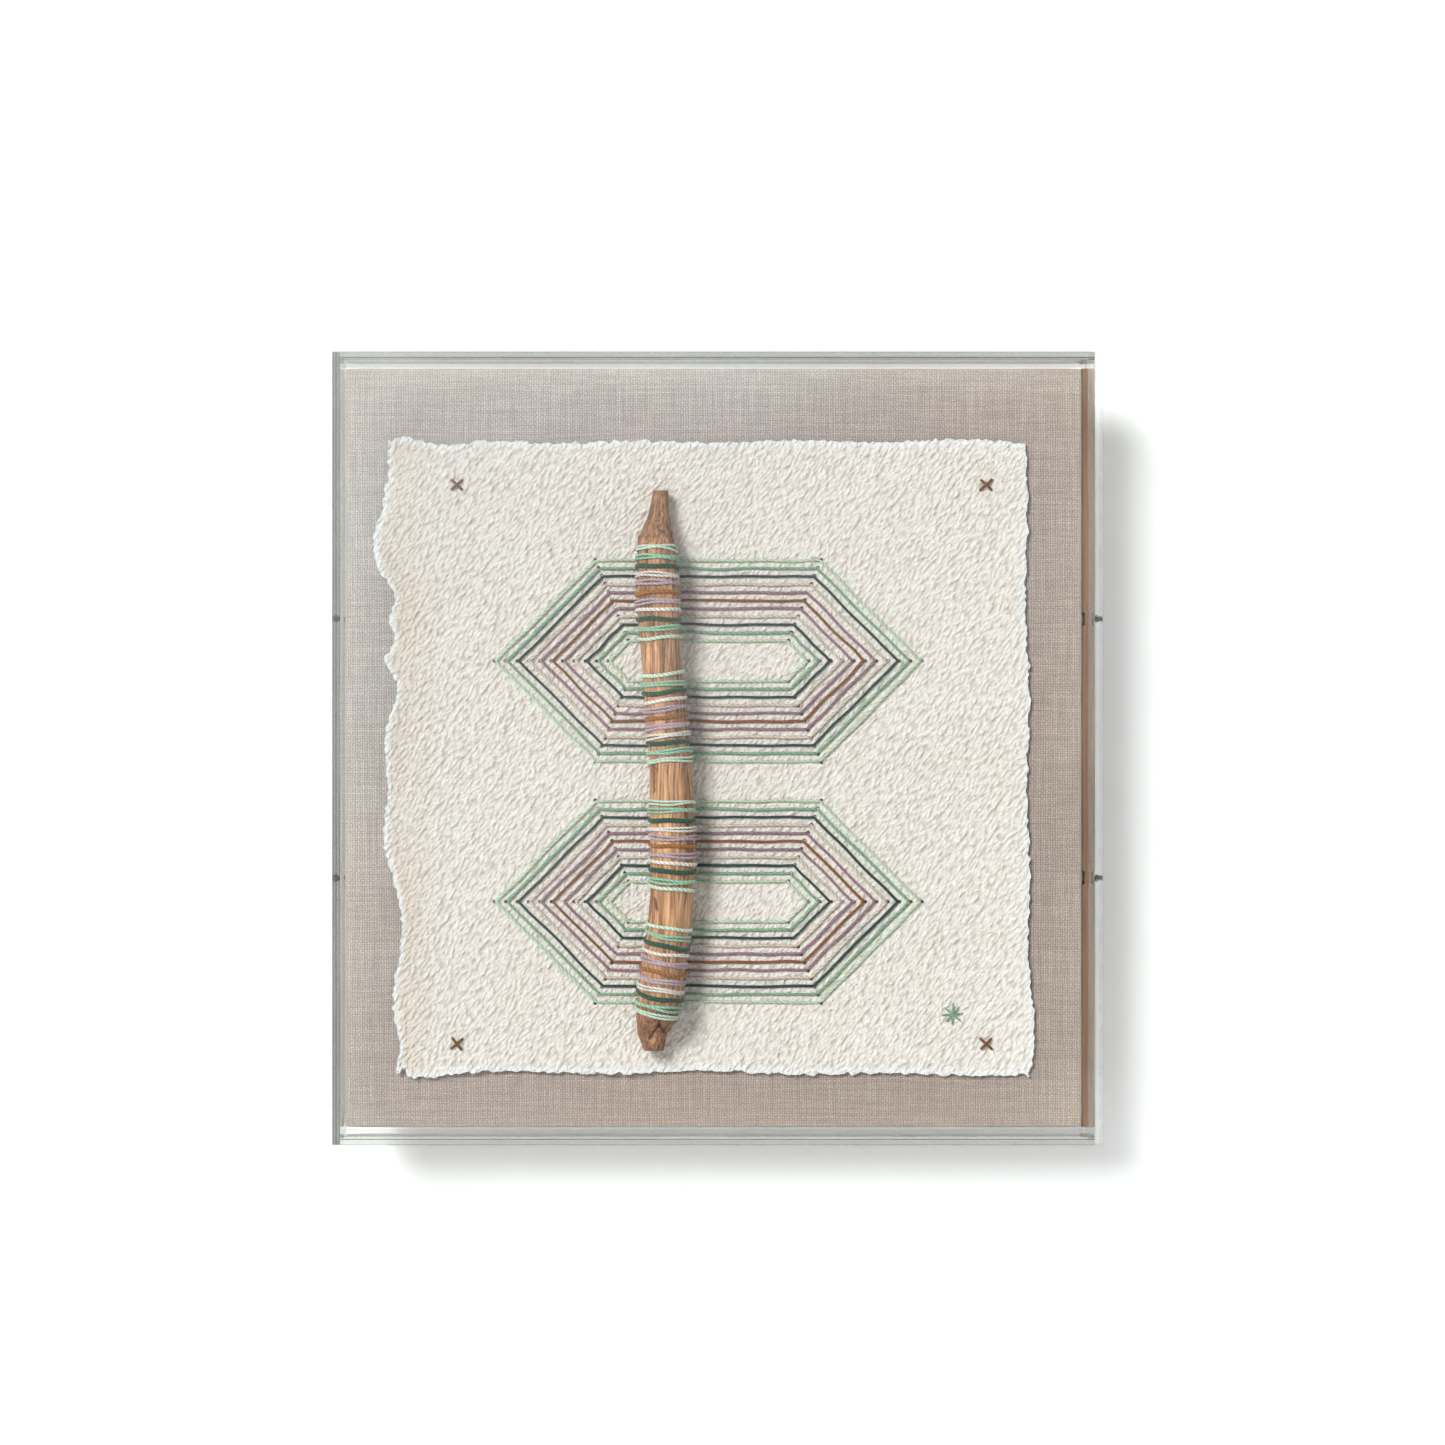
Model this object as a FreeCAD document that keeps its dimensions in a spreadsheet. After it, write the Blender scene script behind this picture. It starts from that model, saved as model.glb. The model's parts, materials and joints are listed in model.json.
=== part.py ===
import FreeCAD, Part
import os
import Sketcher

# Framed stitched paper: a clear box over a linen panel, with handmade paper, threads and a driftwood stick.
# Millimetres. The front faces -Y, +Z is up, and the origin is the middle of the bottom.

SIZES = {
    # the clear box
    "box_width": 305.0,
    "box_height": 314.0,
    "acrylic_thick": 3.0,
    "clear_depth": 28.4,
    # the linen panel behind it
    "linen_thick": 0.6,
    "board_thick": 2.4,
    "strainer_depth": 10.0,
    "rail_width": 30.0,
    "hem_width": 12.0,
    "panel_side_clear": 0.3,
    "panel_top_gap": 1.3,
    "panel_bottom_gap": 1.7,
    # the packing strip at the right, its washers and the four screws
    "strip_width": 2.2,
    "strip_clear": 0.1,
    "strip_setback": 0.3,
    "washer_radius": 2.6,
    "washer_thick": 1.0,
    "screw_radius": 0.9,
    "screw_head_radius": 1.8,
    "screw_head_height": 1.0,
    "screw_length": 12.0,
    "screw_clear": 0.1,
    "screw_tip_clear": 0.5,
    "screw_inset": 6.6,
    "screw_rise": 52.0,
    # hanging holes in the back of the top rail
    "hanger_radius": 4.0,
    "hanger_depth": 7.0,
    "hanger_spacing": 180.0,
    # the floated paper
    "paper_width": 257.0,
    "paper_height": 252.7,
    "paper_thick": 1.0,
    "paper_shift": -3.2,
    "paper_rise": 153.2,
    "riser_thick": 1.6,
    "riser_inset": 16.0,
    # threads on the paper
    "thread_width": 1.2,
    "thread_thick": 1.0,
    "thread_pitch": 3.22,
    "medallion_half_width": 85.2,
    "medallion_half_height": 40.3,
    "upper_medallion_lift": 38.9,
    "lower_medallion_lift": -57.7,
    # the stick and the turns of thread round it
    "stick_radius": 9.3,
    "stick_length": 224.0,
    "stick_drop": 117.1,
    "stick_shift": -14.3,
    "wrap_height": 2.0,
    "wrap_thick": 0.9,
    "wrap_lift": 0.05,
    "wrap_fit": 0.25,
    # stitched marks near the paper's corners
    "stitch_thick": 0.8,
    "stitch_width": 1.1,
    "cross_length": 6.4,
    "cross_left": 27.6,
    "cross_right": 17.0,
    "cross_top": 16.8,
    "cross_bottom": 11.6,
    "star_length": 8.0,
    "star_right": 30.5,
    "star_bottom": 23.45,
}

THREADS_IN_MEDALLION = 11
SIDES_OF_A_TURN = 16

# Sections of the stick from its foot: share of the length, sideways wander in mm, share of the full radius.
STICK_STATIONS = [
    (0.0, -7.5, 0.45),
    (0.031, -8.3, 0.67),
    (0.058, -6.5, 0.92),
    (0.085, -5.6, 1.0),
    (0.156, -3.6, 1.0),
    (0.22, -1.6, 0.95),
    (0.282, -0.4, 0.95),
    (0.354, 0.0, 1.0),
    (0.444, -0.6, 0.97),
    (0.516, -1.0, 0.93),
    (0.624, -3.2, 0.91),
    (0.705, -4.6, 0.89),
    (0.804, -6.0, 0.95),
    (0.903, -6.4, 0.87),
    (0.939, -6.1, 0.62),
    (0.957, -5.6, 0.48),
    (1.0, -4.8, 0.35),
]

# The torn edges: share of the side and mm outwards from the nominal rectangle, read clockwise from low left.
LEFT_EDGE = [
    (0.0, -2.0), (0.05, -4.4), (0.1, -2.0), (0.2, -5.0), (0.27, -4.4), (0.39, 2.0), (0.43, 0.4), (0.56, 0.0),
    (0.62, -3.2), (0.655, 1.2), (0.69, -2.4), (0.72, -0.4), (0.745, -2.4), (0.81, 5.2), (0.9, 2.4), (0.97, 0.0),
]
TOP_EDGE = [
    (0.0, 0.0), (0.03, 2.4), (0.07, -0.3), (0.14, 0.6), (0.25, 0.0), (0.38, 1.0), (0.5, 0.2), (0.64, 1.2),
    (0.78, 0.4), (0.9, 1.6), (0.97, 0.6),
]
RIGHT_EDGE = [
    (0.0, -1.6), (0.12, -0.4), (0.27, -1.2), (0.4, 0.4), (0.55, -0.6), (0.7, 0.6), (0.82, 0.0), (0.93, 2.4),
]
BOTTOM_EDGE = [
    (0.0, 0.6), (0.1, 1.2), (0.22, 0.2), (0.36, 0.8), (0.5, -0.8), (0.63, 0.4), (0.77, -0.4), (0.9, 0.6),
    (0.98, 1.2),
]

# Widths, heights and depths that several pieces share, as expressions on the sheet.
BOX_DEPTH = (
    "(sizes.acrylic_thick + sizes.clear_depth + sizes.linen_thick * 2"
    " + sizes.board_thick + sizes.strainer_depth)"
)
FRONT_Y = f"(0 - {BOX_DEPTH} / 2)"
BACK_Y = f"({BOX_DEPTH} / 2)"
WALL_Y = f"({FRONT_Y} + sizes.acrylic_thick)"
LINEN_Y = f"({WALL_Y} + sizes.clear_depth)"
BOARD_Y = f"({LINEN_Y} + sizes.linen_thick)"
STRAINER_Y = f"({BOARD_Y} + sizes.board_thick)"
PAPER_Y = f"({LINEN_Y} - sizes.riser_thick - sizes.paper_thick)"
INNER_HALF = "(sizes.box_width / 2 - sizes.acrylic_thick)"
PANEL_LEFT = f"(0 - {INNER_HALF} + sizes.panel_side_clear)"
PANEL_RIGHT = f"({INNER_HALF} - sizes.strip_width - sizes.strip_clear * 2)"
PANEL_WIDTH = f"({PANEL_RIGHT} - {PANEL_LEFT})"
PANEL_BOTTOM = "(sizes.acrylic_thick + sizes.panel_bottom_gap)"
PANEL_TOP = "(sizes.box_height - sizes.acrylic_thick - sizes.panel_top_gap)"
PANEL_HEIGHT = f"({PANEL_TOP} - {PANEL_BOTTOM})"
CORE_LEFT = f"({PANEL_LEFT} + sizes.linen_thick)"
CORE_RIGHT = f"({PANEL_RIGHT} - sizes.linen_thick)"
CORE_BOTTOM = f"({PANEL_BOTTOM} + sizes.linen_thick)"
CORE_TOP = f"({PANEL_TOP} - sizes.linen_thick)"
SCREW_Y = f"({LINEN_Y} + sizes.screw_inset)"
STICK_X = "(sizes.paper_shift + sizes.stick_shift)"
STICK_FOOT = "(sizes.paper_rise - sizes.stick_drop)"
STICK_BACK_Y = f"({PAPER_Y} - sizes.wrap_lift - sizes.wrap_thick - sizes.wrap_fit)"

doc = FreeCAD.newDocument("framed_stitched_paper")
parts = []


def make_sheet():
    """Write the driving dimensions into a sheet, each under its own alias."""
    sheet = doc.addObject("Spreadsheet::Sheet", "sizes")
    for row, (name, value) in enumerate(SIZES.items(), start=1):
        sheet.set(f"A{row}", name)
        sheet.set(f"B{row}", str(value))
        sheet.setAlias(f"B{row}", name)
    doc.recompute()
    return sheet


sizes = make_sheet()


def value_of(expression):
    """The number that an expression on the sheet gives now."""
    return float(sizes.evalExpression(expression.replace("sizes.", "")))


def bind(item, **expressions):
    """Tie properties to expressions; two underscores in a name stand for a dot."""
    for path, expression in expressions.items():
        item.setExpression(path.replace("__", "."), expression)


def keep(item, name):
    """Label a finished sub-part and remember it for the files."""
    item.Label = name
    parts.append(item)
    return item


def place(item, x="0", y="0", z="0"):
    """Tie the item's place to the sheet."""
    bind(item, Placement__Base__x=x, Placement__Base__y=y, Placement__Base__z=z)


def make_block(name, low, high):
    """A box between two corners, each given as three expressions."""
    block = doc.addObject("Part::Box", name)
    bind(
        block,
        Length=f"({high[0]}) - ({low[0]})",
        Width=f"({high[1]}) - ({low[1]})",
        Height=f"({high[2]}) - ({low[2]})",
    )
    place(block, *low)
    return block


def cut_away(name, base, tools):
    """The base with every tool taken out of it."""
    fuse = doc.addObject("Part::MultiFuse", name + "_holes")
    fuse.Shapes = tools
    cut = doc.addObject("Part::Cut", name)
    cut.Base = base
    cut.Tool = fuse
    return cut


def make_rod(name, x, y, z, radius, length):
    """A cylinder along X from the given place, towards +X."""
    rod = doc.addObject("Part::Cylinder", name)
    bind(rod, Radius=radius, Height=length)
    rod.Placement.Rotation = FreeCAD.Rotation(FreeCAD.Vector(0, 1, 0), 90)
    place(rod, x, y, z)
    return rod


def make_cone(name, x, y, z, radius_low, radius_high, length):
    """A cone along X from the given place, towards +X."""
    cone = doc.addObject("Part::Cone", name)
    bind(cone, Radius1=radius_low, Radius2=radius_high, Height=length)
    cone.Placement.Rotation = FreeCAD.Rotation(FreeCAD.Vector(0, 1, 0), 90)
    place(cone, x, y, z)
    return cone


def new_body(name):
    """An empty body that will become one sub-part."""
    return keep(doc.addObject("PartDesign::Body", name), name)


def new_sketch(body, name, role, offset="0"):
    """A sketch on one of the body's own planes, moved along its normal by the offset."""
    sketch = body.newObject("Sketcher::SketchObject", name)
    plane = next(item for item in body.Origin.OriginFeatures if item.Role == role)
    sketch.AttachmentSupport = [(plane, "")]
    sketch.MapMode = "FlatFace"
    bind(sketch, AttachmentOffset__Base__z=offset)
    return sketch


def bind_constraint(sketch, kind, *places, expression):
    """Add one dimension to a sketch and tie it to the sheet."""
    number = sketch.addConstraint(Sketcher.Constraint(kind, *places, value_of(expression)))
    sketch.setExpression(f"Constraints[{number}]", expression)


def draw_outline(sketch, corners):
    """A closed chain of lines through corners, each a pair of expressions."""
    spots = [FreeCAD.Vector(value_of(x), value_of(y), 0) for x, y in corners]
    first = sketch.GeometryCount
    total = len(spots)
    for index in range(total):
        sketch.addGeometry(Part.LineSegment(spots[index], spots[(index + 1) % total]))
    for index in range(total):
        following = first + (index + 1) % total
        sketch.addConstraint(Sketcher.Constraint("Coincident", first + index, 2, following, 1))
    for index, (x, y) in enumerate(corners):
        bind_constraint(sketch, "DistanceX", first + index, 1, expression=x)
        bind_constraint(sketch, "DistanceY", first + index, 1, expression=y)


def draw_rectangle(sketch, left, low, right, high):
    """A rectangle between two corners."""
    draw_outline(sketch, [(left, low), (right, low), (right, high), (left, high)])


def draw_circle(sketch, x, y, radius):
    """A circle tied to the sheet by its middle and radius."""
    middle = FreeCAD.Vector(value_of(x), value_of(y), 0)
    number = sketch.addGeometry(Part.Circle(middle, FreeCAD.Vector(0, 0, 1), value_of(radius)))
    bind_constraint(sketch, "DistanceX", number, 3, expression=x)
    bind_constraint(sketch, "DistanceY", number, 3, expression=y)
    bind_constraint(sketch, "Radius", number, expression=radius)


def pad(body, sketch, name, length):
    """Raise a sketch into a solid."""
    feature = body.newObject("PartDesign::Pad", name)
    feature.Profile = sketch
    bind(feature, Length=length)
    return feature


def pocket(body, sketch, name, length):
    """Sink a sketch into the solid, against the sketch's normal."""
    feature = body.newObject("PartDesign::Pocket", name)
    feature.Profile = sketch
    bind(feature, Length=length)
    return feature


def screw_spots():
    """The four screws: name, side of the box (-1 left, 1 right) and height."""
    upper = "(sizes.box_height / 2 + sizes.screw_rise)"
    lower = "(sizes.box_height / 2 - sizes.screw_rise)"
    return [
        ("left_upper", -1, upper),
        ("left_lower", -1, lower),
        ("right_upper", 1, upper),
        ("right_lower", 1, lower),
    ]


def make_screw_path(owner, spot, side, height, clear, tip):
    """What a screw takes out of the pieces it passes: its shank, and its sunk head in the wall."""
    shank = f"sizes.screw_radius + {clear}"
    head = f"sizes.screw_head_radius + {clear}"
    length = f"sizes.screw_length + {tip}"
    start = "0 - sizes.box_width / 2" if side < 0 else f"sizes.box_width / 2 - ({length})"
    rod = make_rod(f"{owner}_{spot}_shank", start, SCREW_Y, height, shank, length)
    if side < 0:
        radii = (head, shank)
        sink = start
    else:
        radii = (shank, head)
        sink = "sizes.box_width / 2 - sizes.screw_head_height"
    cone = make_cone(f"{owner}_{spot}_head", sink, SCREW_Y, height, *radii, "sizes.screw_head_height")
    return [rod, cone]


def make_front():
    """The clear front sheet, over the edges of all four walls."""
    low = ("0 - sizes.box_width / 2", FRONT_Y, "0")
    high = ("sizes.box_width / 2", WALL_Y, "sizes.box_height")
    keep(make_block("acrylic_front", low, high), "acrylic_front")


def make_side_wall(name, side):
    """A clear side wall of full height, with sunk clearance holes for its two screws."""
    if side < 0:
        edges = ("0 - sizes.box_width / 2", f"0 - {INNER_HALF}")
    else:
        edges = (INNER_HALF, "sizes.box_width / 2")
    blank = make_block(name + "_blank", (edges[0], WALL_Y, "0"), (edges[1], BACK_Y, "sizes.box_height"))
    tools = []
    for spot, screw_side, height in screw_spots():
        if screw_side == side:
            tools += make_screw_path(name, spot, side, height, "sizes.screw_clear", "0")
    keep(cut_away(name, blank, tools), name)


def make_level_wall(name, low, high):
    """The clear top or bottom wall, fitted between the side walls."""
    block = make_block(name, (f"0 - {INNER_HALF}", WALL_Y, low), (INNER_HALF, BACK_Y, high))
    keep(block, name)


def make_linen():
    """The linen: a skin over the panel's front and sides, turned in as a hem at the back."""
    whole = make_block("linen_outside", (PANEL_LEFT, LINEN_Y, PANEL_BOTTOM), (PANEL_RIGHT, BACK_Y, PANEL_TOP))
    core_back = f"{BACK_Y} - sizes.linen_thick"
    core = make_block("linen_inside", (CORE_LEFT, BOARD_Y, CORE_BOTTOM), (CORE_RIGHT, core_back, CORE_TOP))
    window = make_block(
        "linen_window",
        (f"{PANEL_LEFT} + sizes.hem_width", STRAINER_Y, f"{PANEL_BOTTOM} + sizes.hem_width"),
        (f"{PANEL_RIGHT} - sizes.hem_width", BACK_Y, f"{PANEL_TOP} - sizes.hem_width"),
    )
    tools = [core, window]
    for spot, side, height in screw_spots():
        tools += make_screw_path("linen", spot, side, height, "0", "0")
    keep(cut_away("linen_cover", whole, tools), "linen_cover")


def make_strip():
    """The packing strip, notched from the front for its washers and bored for its screws."""
    left = f"{PANEL_RIGHT} + sizes.strip_clear"
    right = f"{INNER_HALF} - sizes.strip_clear"
    front = f"{LINEN_Y} + sizes.strip_setback"
    blank = make_block("strip_blank", (left, front, PANEL_BOTTOM), (right, BACK_Y, PANEL_TOP))
    tools = []
    for spot, side, height in screw_spots():
        if side > 0:
            tools += make_screw_path("strip", spot, side, height, "0", "0")
            tools.append(
                make_block(
                    f"strip_notch_{spot}",
                    (left, front, f"{height} - sizes.washer_radius"),
                    (f"{left} + sizes.washer_thick", SCREW_Y, f"{height} + sizes.washer_radius"),
                )
            )
            tools.append(
                make_rod(f"strip_round_{spot}", left, SCREW_Y, height, "sizes.washer_radius", "sizes.washer_thick")
            )
    keep(cut_away("packing_strip", blank, tools), "packing_strip")


def make_washer(spot, height):
    """A small round washer in the strip's notch, on its screw."""
    name = "washer_" + spot
    left = f"{PANEL_RIGHT} + sizes.strip_clear"
    disc = make_rod(name + "_disc", left, SCREW_Y, height, "sizes.washer_radius", "sizes.washer_thick")
    hole = make_rod(name + "_bore", left, SCREW_Y, height, "sizes.screw_radius", "sizes.washer_thick")
    washer = doc.addObject("Part::Cut", name)
    washer.Base = disc
    washer.Tool = hole
    keep(washer, name)


def make_screw(spot, side, height):
    """A countersunk screw, turned about its own axis and laid along X."""
    body = new_body("screw_" + spot)
    sketch = new_sketch(body, body.Name + "_profile", "XY_Plane")
    draw_outline(
        sketch,
        [
            ("0", "0"),
            ("0", "sizes.screw_head_radius"),
            ("sizes.screw_head_height", "sizes.screw_radius"),
            ("sizes.screw_length - sizes.screw_radius", "sizes.screw_radius"),
            ("sizes.screw_length", "0"),
        ],
    )
    turned = body.newObject("PartDesign::Revolution", body.Name + "_turned")
    turned.Profile = sketch
    turned.ReferenceAxis = (sketch, ["H_Axis"])
    turned.Angle = 360.0
    if side > 0:
        body.Placement.Rotation = FreeCAD.Rotation(FreeCAD.Vector(0, 0, 1), 180)
    start = "0 - sizes.box_width / 2" if side < 0 else "sizes.box_width / 2"
    place(body, start, SCREW_Y, height)


def make_board():
    """The thin board behind the linen's front."""
    body = new_body("backing_board")
    sketch = new_sketch(body, "board_outline", "XZ_Plane")
    draw_rectangle(sketch, CORE_LEFT, CORE_BOTTOM, CORE_RIGHT, CORE_TOP)
    pad(body, sketch, "board_pad", "sizes.board_thick")
    place(body, y=STRAINER_Y)


def make_upright_rail(name, side):
    """A strainer rail of full height at one side, with blind holes for its two screws."""
    if side < 0:
        edges = (CORE_LEFT, f"{CORE_LEFT} + sizes.rail_width")
    else:
        edges = (f"{CORE_RIGHT} - sizes.rail_width", CORE_RIGHT)
    back = f"{BACK_Y} - sizes.linen_thick"
    blank = make_block(name + "_blank", (edges[0], STRAINER_Y, CORE_BOTTOM), (edges[1], back, CORE_TOP))
    tools = []
    for spot, screw_side, height in screw_spots():
        if screw_side == side:
            tools += make_screw_path(name, spot, side, height, "0", "sizes.screw_tip_clear")
    keep(cut_away(name, blank, tools), name)


def make_level_rail(name, low, high):
    """A strainer rail between the upright rails."""
    body = new_body(name)
    sketch = new_sketch(body, name + "_outline", "XZ_Plane")
    draw_rectangle(
        sketch, f"{CORE_LEFT} + sizes.rail_width", low, f"{CORE_RIGHT} - sizes.rail_width", high
    )
    pad(body, sketch, name + "_pad", "sizes.strainer_depth")
    place(body, y=f"{BACK_Y} - sizes.linen_thick")
    return body


def bore_hangers(body):
    """Two blind hanging holes in the back of the top rail, clear of the linen hem."""
    sketch = new_sketch(body, "hanger_circles", "XZ_Plane")
    height = f"{CORE_TOP} - (sizes.rail_width + sizes.hem_width - sizes.linen_thick) / 2"
    for side in ("0 -", ""):
        draw_circle(sketch, f"{side} sizes.hanger_spacing / 2", height, "sizes.hanger_radius")
    holes = pocket(body, sketch, "hanger_holes", "sizes.hanger_depth")
    holes.Reversed = True


def make_riser():
    """The card that lifts the paper off the linen, hidden behind it."""
    body = new_body("paper_riser")
    half_width = "(sizes.paper_width / 2 - sizes.riser_inset)"
    half_height = "(sizes.paper_height / 2 - sizes.riser_inset)"
    sketch = new_sketch(body, "riser_outline", "XZ_Plane")
    draw_rectangle(
        sketch,
        f"sizes.paper_shift - {half_width}",
        f"sizes.paper_rise - {half_height}",
        f"sizes.paper_shift + {half_width}",
        f"sizes.paper_rise + {half_height}",
    )
    pad(body, sketch, "riser_pad", "sizes.riser_thick")
    place(body, y=LINEN_Y)


def torn_side(start, end, outwards, bumps):
    """Points along one torn side, from its start corner towards the next."""
    return [start + (end - start) * share + outwards * bump for share, bump in bumps]


def make_paper():
    """The handmade sheet: a flat slab inside a wavy torn outline."""
    half_width = sizes.paper_width / 2
    half_height = sizes.paper_height / 2
    low_left = FreeCAD.Vector(-half_width, 0, -half_height)
    top_left = FreeCAD.Vector(-half_width, 0, half_height)
    top_right = FreeCAD.Vector(half_width, 0, half_height)
    low_right = FreeCAD.Vector(half_width, 0, -half_height)
    sides = [
        torn_side(low_left, top_left, FreeCAD.Vector(-1, 0, 0), LEFT_EDGE),
        torn_side(top_left, top_right, FreeCAD.Vector(0, 0, 1), TOP_EDGE),
        torn_side(top_right, low_right, FreeCAD.Vector(1, 0, 0), RIGHT_EDGE),
        torn_side(low_right, low_left, FreeCAD.Vector(0, 0, -1), BOTTOM_EDGE),
    ]
    edges = []
    for side, following in zip(sides, sides[1:] + sides[:1]):
        curve = Part.BSplineCurve()
        curve.interpolate(side + following[:1])
        edges.append(curve.toShape())
    face = Part.Face(Part.Wire(edges))
    paper = doc.addObject("Part::Feature", "handmade_paper")
    paper.Shape = face.extrude(FreeCAD.Vector(0, sizes.paper_thick, 0))
    place(paper, "sizes.paper_shift", PAPER_Y, "sizes.paper_rise")
    keep(paper, "handmade_paper")


def stick_at(level):
    """Sideways wander and radius of the stick at a height above its foot, as numbers in mm."""
    share = level / sizes.stick_length
    for low, high in zip(STICK_STATIONS, STICK_STATIONS[1:]):
        if share <= high[0]:
            break
    part_way = (share - low[0]) / (high[0] - low[0])
    wander = low[1] + (high[1] - low[1]) * part_way
    girth = low[2] + (high[2] - low[2]) * part_way
    return wander, girth


def make_stick():
    """The driftwood stick, lofted straight from section to section, its back in one plane."""
    body = new_body("driftwood_stick")
    sections = []
    for index, (share, wander, girth) in enumerate(STICK_STATIONS):
        level = f"sizes.stick_length * {share}"
        sketch = new_sketch(body, f"stick_section_{index}", "XY_Plane", level)
        radius = f"sizes.stick_radius * {girth}"
        draw_circle(sketch, str(wander), f"0 - {radius}", radius)
        sections.append(sketch)
    loft = body.newObject("PartDesign::AdditiveLoft", "stick_loft")
    loft.Profile = sections[0]
    loft.Sections = sections[1:]
    loft.Ruled = True
    place(body, STICK_X, STICK_BACK_Y, STICK_FOOT)


def lozenge(half_width, half_height):
    """A level-topped lozenge with pointed ends and sides at 45 degrees, about the body's origin."""
    level = f"({half_width} - {half_height})"
    return [
        (half_width, "0"),
        (level, half_height),
        (f"0 - {level}", half_height),
        (f"0 - {half_width}", "0"),
        (f"0 - {level}", f"0 - {half_height}"),
        (level, f"0 - {half_height}"),
    ]


def make_prism(name, radius, x, y, z):
    """An upright many-sided prism as high as a turn, with a flat side towards the paper."""
    prism = doc.addObject("Part::Prism", name)
    prism.Polygon = SIDES_OF_A_TURN
    half_side = 180 / SIDES_OF_A_TURN
    bind(prism, Circumradius=f"({radius}) / cos({half_side} deg)", Height="sizes.wrap_height")
    prism.Placement.Rotation = FreeCAD.Rotation(FreeCAD.Vector(0, 0, 1), half_side)
    place(prism, x, y, f"{z} - sizes.wrap_height / 2")
    return prism


def make_turn(name, level):
    """One turn of a thread round the stick, at a height in the box."""
    wander, girth = stick_at(value_of(f"{level} - {STICK_FOOT}"))
    radius = f"sizes.stick_radius * {girth}"
    spot = (f"{STICK_X} + {wander}", f"{STICK_BACK_Y} - {radius}", level)
    turn = doc.addObject("Part::Cut", name)
    turn.Base = make_prism(name + "_outside", f"{radius} + sizes.wrap_fit + sizes.wrap_thick", *spot)
    turn.Tool = make_prism(name + "_inside", f"{radius} + sizes.wrap_fit", *spot)
    return turn


def make_thread(name, rise, number):
    """One thread: a lozenge on the paper and its two turns round the stick."""
    body = doc.addObject("PartDesign::Body", name + "_runs")
    half = "sizes.thread_width / 2"
    middle_height = f"(sizes.medallion_half_height - sizes.thread_pitch * {number})"
    middle_width = f"(sizes.medallion_half_width - sizes.thread_pitch * {number} * sqrt(2))"
    sketch = new_sketch(body, name + "_lozenges", "XZ_Plane")
    draw_outline(sketch, lozenge(f"({middle_width} + {half} * sqrt(2))", f"({middle_height} + {half})"))
    draw_outline(sketch, lozenge(f"({middle_width} - {half} * sqrt(2))", f"({middle_height} - {half})"))
    pad(body, sketch, name + "_pad", "sizes.thread_thick")
    place(body, "sizes.paper_shift", PAPER_Y, rise)
    thread = doc.addObject("Part::MultiFuse", name)
    thread.Shapes = [
        body,
        make_turn(name + "_upper_turn", f"{rise} + {middle_height}"),
        make_turn(name + "_lower_turn", f"{rise} - {middle_height}"),
    ]
    keep(thread, name)


def make_stitched_mark(name, x, z, length, bars):
    """Straight stitches of one length crossed over each other at even angles."""
    body = new_body(name)
    sketch = new_sketch(body, name + "_bar", "XZ_Plane")
    draw_rectangle(
        sketch, f"0 - {length} / 2", "0 - sizes.stitch_width / 2", f"{length} / 2", "sizes.stitch_width / 2"
    )
    bar = pad(body, sketch, name + "_pad", "sizes.stitch_thick")
    spread = body.newObject("PartDesign::PolarPattern", name + "_spread")
    spread.Originals = [bar]
    spread.Axis = (sketch, ["N_Axis"])
    spread.Angle = 180.0 - 180.0 / bars
    spread.Occurrences = bars
    body.Tip = spread
    turn = 45.0 if bars == 2 else 0.0
    body.Placement.Rotation = FreeCAD.Rotation(FreeCAD.Vector(0, 1, 0), turn)
    place(body, x, PAPER_Y, z)


def make_marks():
    """A cross stitch near each corner of the paper and a small plain star low at the right."""
    left = "sizes.paper_shift - sizes.paper_width / 2 + sizes.cross_left"
    right = "sizes.paper_shift + sizes.paper_width / 2 - sizes.cross_right"
    high = "sizes.paper_rise + sizes.paper_height / 2 - sizes.cross_top"
    low = "sizes.paper_rise - sizes.paper_height / 2 + sizes.cross_bottom"
    for name, x, z in (
        ("corner_cross_top_left", left, high),
        ("corner_cross_top_right", right, high),
        ("corner_cross_bottom_left", left, low),
        ("corner_cross_bottom_right", right, low),
    ):
        make_stitched_mark(name, x, z, "sizes.cross_length", 2)
    star_x = "sizes.paper_shift + sizes.paper_width / 2 - sizes.star_right"
    star_z = "sizes.paper_rise - sizes.paper_height / 2 + sizes.star_bottom"
    make_stitched_mark("star_stitch", star_x, star_z, "sizes.star_length", 4)


def make_all():
    """Every sub-part, from the box inwards."""
    make_front()
    make_side_wall("acrylic_left", -1)
    make_side_wall("acrylic_right", 1)
    make_level_wall("acrylic_top", "sizes.box_height - sizes.acrylic_thick", "sizes.box_height")
    make_level_wall("acrylic_bottom", "0", "sizes.acrylic_thick")
    make_linen()
    make_board()
    make_upright_rail("strainer_left", -1)
    make_upright_rail("strainer_right", 1)
    top_rail = make_level_rail("strainer_top", f"{CORE_TOP} - sizes.rail_width", CORE_TOP)
    bore_hangers(top_rail)
    make_level_rail("strainer_bottom", CORE_BOTTOM, f"{CORE_BOTTOM} + sizes.rail_width")
    make_strip()
    for spot, side, height in screw_spots():
        make_screw(spot, side, height)
        if side > 0:
            make_washer(spot.replace("right_", ""), height)
    make_riser()
    make_paper()
    make_stick()
    for medallion in ("upper", "lower"):
        for number in range(THREADS_IN_MEDALLION):
            rise = f"(sizes.paper_rise + sizes.{medallion}_medallion_lift)"
            make_thread(f"{medallion}_thread_{number + 1:02d}", rise, number)
    make_marks()


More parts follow.
